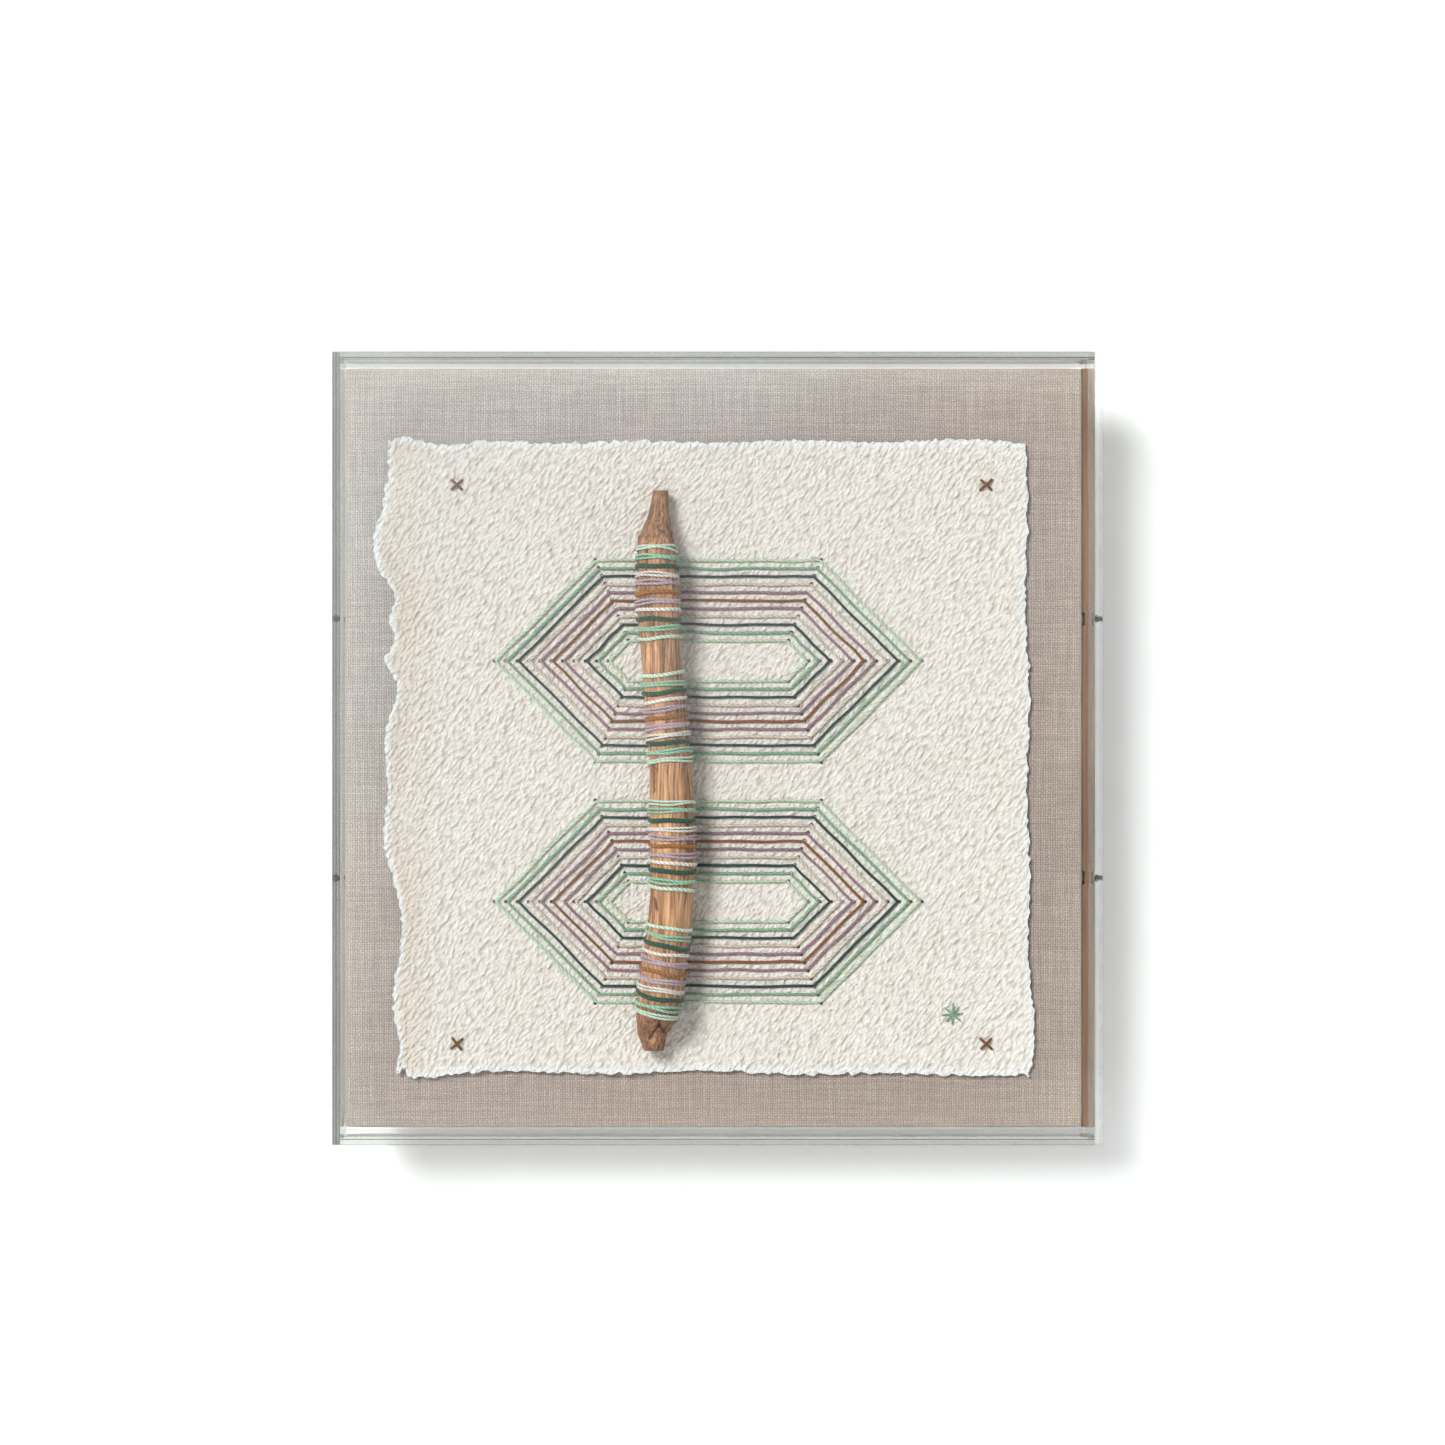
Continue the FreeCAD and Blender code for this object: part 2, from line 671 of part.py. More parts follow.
def check_all():
    """Stop if anything in the document failed or a sub-part has no sound shape."""
    for item in doc.Objects:
        if {"Invalid", "Error"} & set(item.State):
            raise RuntimeError(f"{item.Label} failed: {item.State}")
    for item in parts:
        if item.Shape.isNull() or not item.Shape.isValid():
            raise RuntimeError(f"{item.Label} has no sound shape")


def write_all():
    """Write one file for each sub-part."""
    os.makedirs("parts", exist_ok=True)
    for item in parts:
        item.Shape.exportStep(f"parts/{item.Label}.step")
        print(item.Label, len(item.Shape.Solids), round(item.Shape.Volume, 3))


make_all()
doc.recompute()
check_all()
write_all()
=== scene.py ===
import json
import math

import bpy
import numpy as np
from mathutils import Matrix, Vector


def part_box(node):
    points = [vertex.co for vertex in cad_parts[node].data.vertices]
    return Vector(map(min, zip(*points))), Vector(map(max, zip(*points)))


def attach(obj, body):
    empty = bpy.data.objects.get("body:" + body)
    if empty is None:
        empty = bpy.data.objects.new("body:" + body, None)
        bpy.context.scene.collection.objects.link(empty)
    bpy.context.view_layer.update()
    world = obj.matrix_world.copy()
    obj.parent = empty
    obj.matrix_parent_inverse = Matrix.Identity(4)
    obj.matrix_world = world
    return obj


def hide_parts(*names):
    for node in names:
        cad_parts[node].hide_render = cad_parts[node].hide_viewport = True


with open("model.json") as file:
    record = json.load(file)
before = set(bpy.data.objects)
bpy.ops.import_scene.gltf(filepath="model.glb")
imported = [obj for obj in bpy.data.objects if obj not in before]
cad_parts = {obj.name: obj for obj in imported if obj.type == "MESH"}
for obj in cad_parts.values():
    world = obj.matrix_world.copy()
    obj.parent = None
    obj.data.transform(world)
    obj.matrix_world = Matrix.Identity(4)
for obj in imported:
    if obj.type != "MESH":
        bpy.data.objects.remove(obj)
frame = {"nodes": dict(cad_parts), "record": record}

bl_info = {
    "name": "Framed stitched paper",
    "version": (1, 0, 0),
    "blender": (4, 5, 0),
    "location": "View3D > Sidebar > Stitched paper",
    "description": "Dresses the box frame: linen, handmade paper, driftwood, threads, clear walls and the stage",
    "category": "Object",
}

# The photograph's width, the middle of the linen in it, in pixels, and how high that middle stands.
PHOTO_WIDTH = 1445
LINEN_MIDDLE_PX = (711.5, 747.0)
LINEN_MIDDLE_HEIGHT = 0.157
METRES_PER_PIXEL = 0.000403

MM = 0.001
TURN = 2 * math.pi
THREADS_IN_MEDALLION = 11
MEDALLIONS = ("upper", "lower")

# Fewer points than this at one height of the CAD stick aren't a whole section.
POINTS_IN_SECTION = 30
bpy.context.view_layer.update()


def from_photo(pixel_x, pixel_y):
    """A place on the linen's plane, in metres, for a pixel of the photograph."""
    x = (pixel_x - LINEN_MIDDLE_PX[0]) * METRES_PER_PIXEL
    z = LINEN_MIDDLE_HEIGHT + (LINEN_MIDDLE_PX[1] - pixel_y) * METRES_PER_PIXEL
    return x, z


# Streaks, cracks, worn spots and one painted highlight on the stick: two pixels of the photograph, width and
# depth in millimetres,
# and tone: above 0 is darker, below 0 is paler.
STICK_MARKS = [
    ((657, 638), (659, 674), 1.30, 0.15, 0.45),
    ((663, 648), (664, 674), 0.30, 0.10, -0.9),
    ((666, 640), (668, 672), 0.50, 0.10, 0.25),
    ((652, 640), (653, 672), 0.60, 0.05, -0.25),
    ((648, 763), (649, 790), 0.60, 0.5, 0.85),
    ((646, 765), (653, 768), 0.50, 0.4, 0.8),
    ((651, 770), (652, 796), 0.35, 0.2, 0.5),
    ((662, 764), (664, 799), 0.35, 0.15, 0.35),
    ((671, 762), (673, 799), 0.60, 0.10, 0.3),
    ((649, 896), (652, 906), 0.70, 0.5, 0.85),
    ((655, 893), (656, 925), 0.30, 0.2, 0.4),
    ((668, 893), (667, 925), 0.35, 0.2, 0.35),
    ((661, 892), (660, 925), 0.50, 0.1, -0.35),
    # Painted highlight: a paler patch along the left rim of the crack near the foot, set against the darker worn
    # end.
    ((650, 1024), (648, 1036), 1.10, 0.1, 0.15),
    ((655, 1010), (655, 1021), 0.45, 1.1, 1.0),
    ((655, 1020), (645, 1034), 0.50, 1.2, 1.0),
    ((655, 1020), (662, 1031), 0.40, 0.9, 1.0),
    ((641, 1020), (641, 1036), 0.40, 0.4, 0.6),
    ((665, 505), (667, 545), 0.50, 0.3, 0.6),
    ((651, 497), (649, 520), 0.60, 0.15, 0.3),
    ((657, 500), (657, 545), 0.70, 0.05, 0.2),
    ((645, 520), (643, 543), 0.50, 0.2, 0.3),
]

# A small knot that stands out at the stick's left side: pixel, reach round the stick, reach along it, height.
STICK_KNOT = ((634, 537.5), 0.35, 2.2 * MM, 1.1 * MM)

# Each group of turns round the stick: how far it sits from its rows on the paper, how far the front of
# its top turn and of its bottom turn sags, and how far its left side stands above its right, in millimetres.
TURN_GROUPS = {
    ("upper", 1): (2.6, -1.2, 0.3, 0.25),
    ("upper", -1): (1.4, 0.2, -0.3, -0.2),
    ("lower", 1): (-1.2, 0.5, 0.6, 0.2),
    ("lower", -1): (-2.5, 0.9, 1.4, 0.3),
}

# Strands in each turn and their thickness beside the usual, from the outermost thread to the innermost.
TURN_STRANDS = (
    (2, 0.95), (2, 1.05), (1, 1.9), (2, 1.0), (2, 1.1), (1, 1.6),
    (2, 1.15), (1, 1.5), (1, 1.9), (2, 1.05), (1, 1.5),
)

# Painted shade and painted reflections as bands through each clear wall's thickness, on its own grey-green tint,
# from its low side to its high side.
WALL_TINTS_AND_PAINTED_BANDS = {
    "left": [
        (0.0, (0.31, 0.32, 0.31)), (0.30, (0.30, 0.30, 0.30)), (0.42, (0.09, 0.10, 0.11)),
        (0.58, (0.12, 0.13, 0.13)), (0.70, (0.28, 0.30, 0.27)), (0.86, (0.15, 0.15, 0.11)),
        (1.0, (0.38, 0.39, 0.36)),
    ],
    "right": [
        (0.0, (0.87, 0.89, 0.87)), (0.05, (0.20, 0.17, 0.09)), (0.13, (0.88, 0.89, 0.92)),
        (0.55, (0.92, 0.92, 0.92)), (1.0, (0.92, 0.92, 0.92)),
    ],
    "top": [
        (0.0, (0.39, 0.41, 0.39)), (0.10, (0.17, 0.18, 0.18)), (0.24, (0.41, 0.42, 0.41)),
        (0.75, (0.45, 0.46, 0.46)), (0.92, (0.35, 0.37, 0.35)), (1.0, (0.54, 0.55, 0.55)),
    ],
    "bottom": [
        (0.0, (0.70, 0.70, 0.70)), (0.25, (0.62, 0.64, 0.62)), (0.75, (0.64, 0.65, 0.63)),
        (0.86, (0.42, 0.43, 0.41)), (0.93, (0.96, 0.96, 0.96)), (1.0, (0.98, 0.98, 0.98)),
    ],
}


class StitchedPaperSizes(bpy.types.PropertyGroup):
    """Sizes of the new pieces that a user may change."""

    thread_radius: bpy.props.FloatProperty(
        name="Thread radius", description="Half the thread's width", default=0.56 * MM, unit="LENGTH"
    )
    wrap_radius: bpy.props.FloatProperty(
        name="Turn radius", description="Half a strand's width on the stick", default=0.5 * MM, unit="LENGTH"
    )
    wall_gap: bpy.props.FloatProperty(
        name="Wall gap", description="Gap at the ends of the clear top and base", default=0.03 * MM, unit="LENGTH"
    )
    pulp_depth: bpy.props.FloatProperty(
        name="Pulp depth", description="How deep the paper's hollows are", default=0.36 * MM, unit="LENGTH"
    )
    torn_width: bpy.props.FloatProperty(
        name="Torn rim", description="Width of the thin torn rim of the paper", default=3.2 * MM, unit="LENGTH"
    )
    linen_pitch: bpy.props.FloatProperty(
        name="Linen pitch", description="From one linen thread to the next", default=0.97 * MM, unit="LENGTH"
    )
    camera_distance: bpy.props.FloatProperty(
        name="Camera distance", description="From the camera to the clear front", default=2.0, unit="LENGTH"
    )


class StitchedPaperColours(bpy.types.PropertyGroup):
    """Main colours of the new pieces, as linear values."""

    linen: bpy.props.FloatVectorProperty(
        name="Linen", description="The cloth's middle tone", default=(0.415, 0.345, 0.307), subtype="COLOR"
    )
    paper: bpy.props.FloatVectorProperty(
        name="Paper", description="The pulp's middle tone", default=(0.90, 0.845, 0.795), subtype="COLOR"
    )
    driftwood: bpy.props.FloatVectorProperty(
        name="Driftwood", description="The bare wood's middle tone", default=(0.47, 0.25, 0.128), subtype="COLOR"
    )
    acrylic: bpy.props.FloatVectorProperty(
        name="Clear sheet", description="Tint of the clear walls", default=(0.965, 0.99, 0.975), subtype="COLOR"
    )


THREAD_COLOURS = {
    "thread_pale_green": (0.56, 0.70, 0.50),
    "thread_green": (0.24, 0.43, 0.27),
    "thread_dark_green": (0.008, 0.055, 0.032),
    "thread_cream": (0.70, 0.60, 0.50),
    "thread_mauve": (0.33, 0.19, 0.22),
    "thread_rust": (0.27, 0.085, 0.015),
    "stitch_brown": (0.19, 0.075, 0.012),
}

# Painted light: the same threads are given lighter colours where they are wound over the stick.
TURN_COLOURS_PAINTED_LIGHTER = {
    "thread_pale_green": (0.70, 0.88, 0.72),
    "thread_green": (0.36, 0.64, 0.46),
    "thread_dark_green": (0.012, 0.085, 0.045),
    "thread_cream": (0.90, 0.86, 0.80),
    "thread_mauve": (0.56, 0.43, 0.49),
    "thread_rust": (0.38, 0.15, 0.028),
}


def sizes():
    """The size settings of this scene."""
    return bpy.context.scene.stitched_paper_sizes


def colours():
    """The colour settings of this scene."""
    return bpy.context.scene.stitched_paper_colours


def put(tree, kind, inputs=None, **settings):
    """Add a node, with its settings and its inputs: a value, a colour, or the socket that feeds it."""
    item = tree.nodes.new("ShaderNode" + kind)
    for key, value in settings.items():
        setattr(item, key, value)
    for key, value in (inputs or {}).items():
        socket = item.inputs[key]
        if isinstance(value, bpy.types.NodeSocket):
            tree.links.new(value, socket)
        else:
            socket.default_value = (*value, 1.0) if socket.type == "RGBA" else value
    return item


def new_material(name):
    """An empty node material and its tree."""
    material = bpy.data.materials.new(name)
    material.use_nodes = True
    material.node_tree.nodes.clear()
    return material, material.node_tree


def finished(material, surface):
    """The material, with a shader sent to its output."""
    put(material.node_tree, "OutputMaterial", {"Surface": surface})
    return material


def calculate(tree, operation, first, second):
    """One operation on two numbers or sockets."""
    return put(tree, "Math", {0: first, 1: second}, operation=operation).outputs[0]


def times(tree, first, second):
    """The product of two numbers or sockets."""
    return calculate(tree, "MULTIPLY", first, second)


def plus(tree, first, second):
    """The sum of two numbers or sockets."""
    return calculate(tree, "ADD", first, second)


def own_places(tree):
    """The object's own coordinates."""
    return put(tree, "TexCoord").outputs["Object"]


def attribute(tree, name, output="Fac"):
    """A number or vector that was stored for each point."""
    return put(tree, "Attribute", attribute_name=name).outputs[output]


def split(tree, vector):
    """The three numbers of a vector."""
    return put(tree, "SeparateXYZ", {0: vector}).outputs


def share_between(tree, value, start, end, top=1.0):
    """How far a number lies from a start to an end, as 0 to a top value."""
    limits = {"Value": value, "From Min": start, "From Max": end, "To Min": 0.0, "To Max": top}
    return put(tree, "MapRange", limits).outputs[0]


def mix_shaders(tree, factor, first, second):
    """Blend two shader nodes."""
    return put(tree, "MixShader", {0: factor, 1: first.outputs[0], 2: second.outputs[0]})


def stretched(tree, vector, turn, stretch):
    """Coordinates that are turned and drawn out along their axes."""
    settings = {"Vector": vector, "Rotation": turn, "Scale": tuple(1.0 / factor for factor in stretch)}
    return put(tree, "Mapping", settings, vector_type="TEXTURE").outputs[0]


def pebbles(tree, scale, stretch, turn, strength):
    """Rounded grains over the object's own x and z: high in the middle of each cell, low between cells."""
    vector = own_places(tree)
    warp = put(tree, "TexNoise", {"Vector": vector, "Scale": scale * 0.6, "Detail": 2.0})
    shifted = put(tree, "VectorMath", {0: warp.outputs["Color"], 3: strength}, operation="SCALE")
    moved = put(tree, "VectorMath", {0: vector, 1: shifted.outputs[0]}, operation="ADD")
    mapped = split(tree, stretched(tree, moved.outputs[0], turn, stretch))
    plane = put(tree, "CombineXYZ", {0: mapped["X"], 1: mapped["Z"]})
    settings = {"Vector": plane.outputs[0], "Scale": scale, "Smoothness": 1.0}
    cells = put(tree, "TexVoronoi", settings, feature="SMOOTH_F1", voronoi_dimensions="2D")
    return calculate(tree, "SUBTRACT", 1.0, cells.outputs["Distance"])


def ramp(tree, factor, stops):
    """Colours spread over a factor: each stop is a place and a linear colour."""
    item = put(tree, "ValToRGB", {"Fac": factor})
    elements = item.color_ramp.elements
    elements[0].position = stops[0][0]
    elements[0].color = (*stops[0][1], 1.0)
    elements[1].position = stops[-1][0]
    elements[1].color = (*stops[-1][1], 1.0)
    for place, colour in stops[1:-1]:
        element = elements.new(place)
        element.color = (*colour, 1.0)
    return item.outputs["Color"]


def mix_colours(tree, factor, first, second, blend="MIX"):
    """Blend two colours or colour sockets."""
    inputs = {"Factor": factor, 6: first, 7: second}
    return put(tree, "Mix", inputs, data_type="RGBA", blend_type=blend).outputs[2]


def tinted(tree, factor, first, second):
    """Multiply a colour by another one."""
    return mix_colours(tree, factor, first, second, "MULTIPLY")


def stretched_noise(tree, scale, stretch=(1, 1, 1), turn=(0, 0, 0), detail=3.0, roughness=0.5, vector=None):
    """Noise over the object's own coordinates, drawn out along its axes."""
    mapped = stretched(tree, vector or own_places(tree), turn, stretch)
    settings = {"Vector": mapped, "Scale": scale, "Detail": detail, "Roughness": roughness}
    return put(tree, "TexNoise", settings).outputs["Fac"]


def shade(material, colour, roughness, height=None, depth=0.0, **sockets):
    """Finish a plain surface with its colour, its roughness and a relief of the given depth in metres."""
    tree = material.node_tree
    inputs = {"Base Color": colour, "Roughness": roughness}
    inputs.update({key.replace("_", " "): value for key, value in sockets.items()})
    if height is not None:
        bump = put(tree, "Bump", {"Height": height, "Distance": depth, "Strength": 1.0})
        inputs["Normal"] = bump.outputs[0]
    return finished(material, put(tree, "BsdfPrincipled", inputs).outputs[0])


def tone(colour, amount):
    """A colour made lighter or darker by a factor."""
    return tuple(min(1.0, channel * amount) for channel in colour)


def linen_material():
    """Plain woven linen: bumps of warp over weft, thick and thin yarns, painted shade between them and a painted
    reflection that pales the cloth towards the upper left.
    """
    material, tree = new_material("woven_linen")
    flat = attribute(tree, "flat", "Vector")
    places = split(tree, flat)
    drift = stretched_noise(tree, 180.0, (1, 1, 1), detail=2.0, vector=flat)
    half_turns = math.pi / sizes().linen_pitch
    waves = []
    for axis in ("X", "Y"):
        wandering = plus(tree, times(tree, places[axis], half_turns), times(tree, drift, 2.6))
        waves.append(calculate(tree, "SINE", wandering, 0.0))
    weave = times(tree, waves[0], waves[1])
    ribs = times(tree, waves[0], waves[0])
    rows = times(tree, waves[1], waves[1])
    ribbed = plus(tree, times(tree, ribs, 0.5), times(tree, rows, 0.3))
    lifted = plus(tree, times(tree, weave, 0.2), ribbed)
    warp = stretched_noise(tree, 900.0, (1.0, 0.045, 1.0), detail=2.0, roughness=0.7, vector=flat)
    weft = stretched_noise(tree, 900.0, (0.045, 1.0, 1.0), detail=2.0, roughness=0.7, vector=flat)
    yarns = times(tree, plus(tree, warp, weft), 0.5)
    flecks = stretched_noise(tree, 1500.0, detail=1.0, vector=flat)
    broad = stretched_noise(tree, 9.0, detail=1.0, vector=flat)
    base = tuple(colours().linen)
    tones = ramp(tree, yarns, [(0.36, tone(base, 0.84)), (0.5, base), (0.62, tone(base, 1.2))])
    # Painted shade between the yarns and painted highlight on their tops: the weave is painted darker where it
    # lies low.
    gap_shade = ramp(tree, lifted, [(0.05, (0.55, 0.53, 0.51)), (0.6, (1.12, 1.11, 1.10))])
    woven = tinted(tree, 0.85, tones, gap_shade)
    fleck_tones = ramp(tree, flecks, [(0.35, (0.78, 0.76, 0.74)), (0.65, (1.18, 1.17, 1.15))])
    flecked = tinted(tree, 0.8, woven, fleck_tones)
    warmth = ramp(tree, broad, [(0.3, (1.03, 1.0, 0.99)), (0.7, (0.97, 1.0, 1.03))])
    warmed = tinted(tree, 1.0, flecked, warmth)
    # Painted reflection: the cloth is painted paler and bluer towards the upper left.
    slope = calculate(tree, "SUBTRACT", places["X"], times(tree, places["Y"], 0.9))
    stops = [(0.0, (1.24, 1.33, 1.44)), (0.6, (1.08, 1.09, 1.11)), (1.0, (1.02, 1.0, 0.98))]
    painted_reflection_tint = ramp(tree, share_between(tree, slope, -0.16, 0.16), stops)
    colour = tinted(tree, 1.0, warmed, painted_reflection_tint)
    height = plus(tree, lifted, times(tree, yarns, 1.4))
    return shade(material, colour, 0.9, height, 0.14 * MM, Sheen_Weight=0.15, Sheen_Roughness=0.5)


def paper_material():
    """Handmade pulp: felted ridges at a slant, fine fibres, warm blotches at the left, a white torn rim, and
    painted shade in the hollows with painted highlight on the ridges.
    """
    material, tree = new_material("handmade_pulp")
    slanted = (0, math.radians(38), 0)
    lumps = pebbles(tree, 720.0, (1.0, 1.0, 0.6), slanted, 1.2 * MM)
    felting = stretched_noise(tree, 520.0, (1.0, 1.0, 0.6), slanted, 3.0, 0.55)
    ridges = times(tree, plus(tree, lumps, felting), 0.5)
    grains = stretched_noise(tree, 1300.0, (1.0, 1.0, 0.8), (0, math.radians(30), 0), 3.0, 0.65)
    cloud = stretched_noise(tree, 30.0, detail=3.0)
    rim = attribute(tree, "rim")
    stain = attribute(tree, "stain")
    base = tuple(colours().paper)
    # Painted shade and painted highlight: the relief's hollows are painted darker and warmer, its ridges lighter.
    hollow = tuple(0.9 * channel ** 1.6 for channel in base)
    painted_relief_shade = ramp(tree, ridges, [(0.40, hollow), (0.57, base), (0.70, tone(base, 1.1))])
    clouds = ramp(tree, cloud, [(0.35, (0.985, 0.975, 0.96)), (0.65, (1.0, 1.0, 1.0))])
    clouded = tinted(tree, 1.0, painted_relief_shade, clouds)
    stained = mix_colours(tree, times(tree, stain, cloud), clouded, (0.74, 0.60, 0.46))
    colour = mix_colours(tree, times(tree, rim, 0.85), stained, (0.93, 0.93, 0.93))
    height = plus(tree, ridges, times(tree, grains, 0.25))
    return shade(material, colour, 0.93, height, 1.9 * MM, Sheen_Weight=0.1)


def driftwood_material():
    """Sea-worn wood: long fine grain, darker streaks, and dark cracks where the marks attribute is high."""
    material, tree = new_material("sea_worn_wood")
    grain = stretched_noise(tree, 1100.0, (1.0, 1.0, 0.035), (0, math.radians(2), 0), 4.0, 0.65)
    streaks = stretched_noise(tree, 330.0, (1.0, 1.0, 0.06), (0, math.radians(2), 0), 3.0, 0.6)
    patches = stretched_noise(tree, 45.0, (1.0, 1.0, 0.5), detail=3.0)
    marks = attribute(tree, "marks")
    base = tuple(colours().driftwood)
    lines = ramp(tree, grain, [(0.32, tone(base, 0.25)), (0.48, base), (0.66, tone(base, 1.95))])
    bands = ramp(tree, streaks, [(0.34, (0.34, 0.25, 0.18)), (0.47, (1.0, 1.0, 1.0)), (0.68, (1.32, 1.3, 1.27))])
    streaked = tinted(tree, 0.85, lines, bands)
    worn = ramp(tree, patches, [(0.35, (0.80, 0.76, 0.74)), (0.6, (1.12, 1.13, 1.15))])
    weathered = tinted(tree, 0.7, streaked, worn)
    paled = mix_colours(tree, times(tree, marks, -1.0), weathered, tone(base, 1.75))
    colour = mix_colours(tree, marks, paled, (0.13, 0.04, 0.009))
    height = plus(tree, grain, times(tree, streaks, 0.8))
    return shade(material, colour, 0.7, height, 0.8 * MM)


def thread_material(name, colour):
    """Twisted cotton: the twist runs as slanted waves over the thread's own map, with painted shade in its
    grooves and a soft fuzz.
    """
    material, tree = new_material(name)
    places = split(tree, put(tree, "UVMap", uv_map="thread").outputs[0])
    slanted = plus(tree, times(tree, places[0], TURN), times(tree, places[1], 2 * TURN))
    twist = calculate(tree, "SINE", slanted, 0.0)
    lifted = times(tree, plus(tree, twist, 1.0), 0.5)
    fibres = stretched_noise(tree, 2200.0, detail=2.0, roughness=0.7)
    patches = stretched_noise(tree, 160.0, detail=1.0)
    # Painted shade in the grooves of the twist, a little lighter on its crests.
    twist_shade = ramp(tree, lifted, [(0.0, tone(colour, 0.62)), (0.55, tone(colour, 1.05))])
    fuzz = ramp(tree, fibres, [(0.3, (0.8, 0.8, 0.8)), (0.7, (1.2, 1.2, 1.2))])
    fuzzy = tinted(tree, 0.5, twist_shade, fuzz)
    worn = ramp(tree, patches, [(0.3, (0.9, 0.9, 0.9)), (0.7, (1.1, 1.1, 1.1))])
    worn_thread = tinted(tree, 1.0, fuzzy, worn)
    height = plus(tree, lifted, times(tree, fibres, 0.4))
    return shade(material, worn_thread, 0.8, height, 0.16 * MM, Sheen_Weight=0.3, Sheen_Roughness=0.4)


def timber_material(name, colour, axis_stretch, contrast=0.25):
    """Planed timber or board: grain drawn out along one axis."""
    material, tree = new_material(name)
    grain = stretched_noise(tree, 700.0, axis_stretch, detail=4.0, roughness=0.6)
    broad = stretched_noise(tree, 90.0, axis_stretch, detail=2.0)
    lines = ramp(tree, grain, [(0.3, tone(colour, 1 - contrast)), (0.7, tone(colour, 1 + contrast))])
    bands = ramp(tree, broad, [(0.35, (0.88, 0.86, 0.83)), (0.65, (1.07, 1.06, 1.05))])
    return shade(material, tinted(tree, 1.0, lines, bands), 0.62, grain, 0.08 * MM)


def plain_material(name, colour, roughness, scale, depth, **sockets):
    """Card, nylon or steel: one tone broken by a fine mottle."""
    material, tree = new_material(name)
    mottle = stretched_noise(tree, scale, detail=2.0)
    tones = ramp(tree, mottle, [(0.3, tone(colour, 0.93)), (0.7, tone(colour, 1.06))])
    return shade(material, tones, roughness, mottle, depth, **sockets)


def painted_shade_pit_material():
    """Painted shade: the inside of a needle hole, painted dark."""
    material, tree = new_material("needle_pit_painted_shade")
    mottle = stretched_noise(tree, 2000.0)
    tones = ramp(tree, mottle, [(0.3, (0.03, 0.02, 0.015)), (0.7, (0.09, 0.06, 0.045))])
    return shade(material, tones, 0.9)


def clear_front_material():
    """The clear front sheet: it lets everything through, adds a faint shine, and has a painted reflection: a pale
    veil that grows towards the upper left.
    """
    material, tree = new_material("clear_front")
    through = put(tree, "BsdfTransparent", {"Color": (0.985, 0.992, 0.988)})
    smears_and_glare_patches = stretched_noise(tree, 12.0, detail=2.0)
    shine_tone = ramp(tree, smears_and_glare_patches, [(0.3, (0.7, 0.7, 0.7)), (0.7, (0.8, 0.8, 0.8))])
    shine = put(tree, "BsdfGlossy", {"Color": shine_tone, "Roughness": 0.03})
    facing = put(tree, "LayerWeight", {"Blend": 0.5}).outputs["Facing"]
    gloss = plus(tree, times(tree, calculate(tree, "POWER", facing, 5.0), 0.9), 0.02)
    shiny = mix_shaders(tree, gloss, through, shine)
    # Painted reflection: a pale diffuse veil, patchy and stronger towards the upper left, is mixed over the
    # sheet.
    places = split(tree, own_places(tree))
    low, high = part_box("acrylic_front")
    leftwards = share_between(tree, places["X"], high.x, low.x, 0.5)
    upwards = share_between(tree, places["Z"], low.z, high.z, 0.5)
    clouded = times(tree, plus(tree, leftwards, upwards), smears_and_glare_patches)
    painted_reflection_weight = times(tree, times(tree, clouded, clouded), 0.2)
    painted_reflection_veil = put(tree, "BsdfDiffuse", {"Color": (0.95, 0.97, 1.0)})
    return finished(material, mix_shaders(tree, painted_reflection_weight, shiny, painted_reflection_veil).outputs[0])


def clear_wall_material(name, axis, low, high, stops):
    """A clear wall seen through its edge: it refracts, and bands of painted shade and painted reflection, over
    its grey-green tint, run through its thickness.
    """
    material, tree = new_material(name)
    depth = share_between(tree, split(tree, own_places(tree))[axis], low, high)
    streaks = stretched_noise(tree, 25.0, detail=2.0)
    wander = times(tree, calculate(tree, "SUBTRACT", streaks, 0.5), 0.16)
    # Painted shade and painted reflections: the bands darken and lighten the wall through its thickness.
    layers = ramp(tree, plus(tree, depth, wander), stops)
    colour = tinted(tree, 1.0, layers, tuple(colours().acrylic))
    settings = {"Base Color": colour, "Roughness": 0.02, "IOR": 1.49, "Transmission Weight": 1.0}
    glass = put(tree, "BsdfPrincipled", settings)
    through = put(tree, "BsdfTransparent", {"Color": (0.94, 0.97, 0.955)})
    shadow = put(tree, "LightPath").outputs["Is Shadow Ray"]
    return finished(material, mix_shaders(tree, shadow, glass, through).outputs[0])


def dress_node(node, material):
    """Give a CAD node a material in place of the one it came with."""
    mesh = frame["nodes"][node].data
    mesh.materials.clear()
    mesh.materials.append(material)


def cad_points(node):
    """The corners of a CAD node's mesh, as an array in metres."""
    mesh = frame["nodes"][node].data
    flat = np.zeros(len(mesh.vertices) * 3)
    mesh.vertices.foreach_get("co", flat)
    return flat.reshape(-1, 3)


def grid_quads(rows, columns, close_rows=False, close_columns=False, start=0):
    """Every cell of a grid as four corner numbers; a closed side joins its last line to its first."""
    row_cells = rows if close_rows else rows - 1
    column_cells = columns if close_columns else columns - 1
    row, column = np.meshgrid(np.arange(row_cells), np.arange(column_cells), indexing="ij")
    next_row, next_column = (row + 1) % rows, (column + 1) % columns
    corners = (
        row * columns + column,
        row * columns + next_column,
        next_row * columns + next_column,
        next_row * columns + column,
    )
    return start + np.stack(corners, axis=-1).reshape(-1, 4)


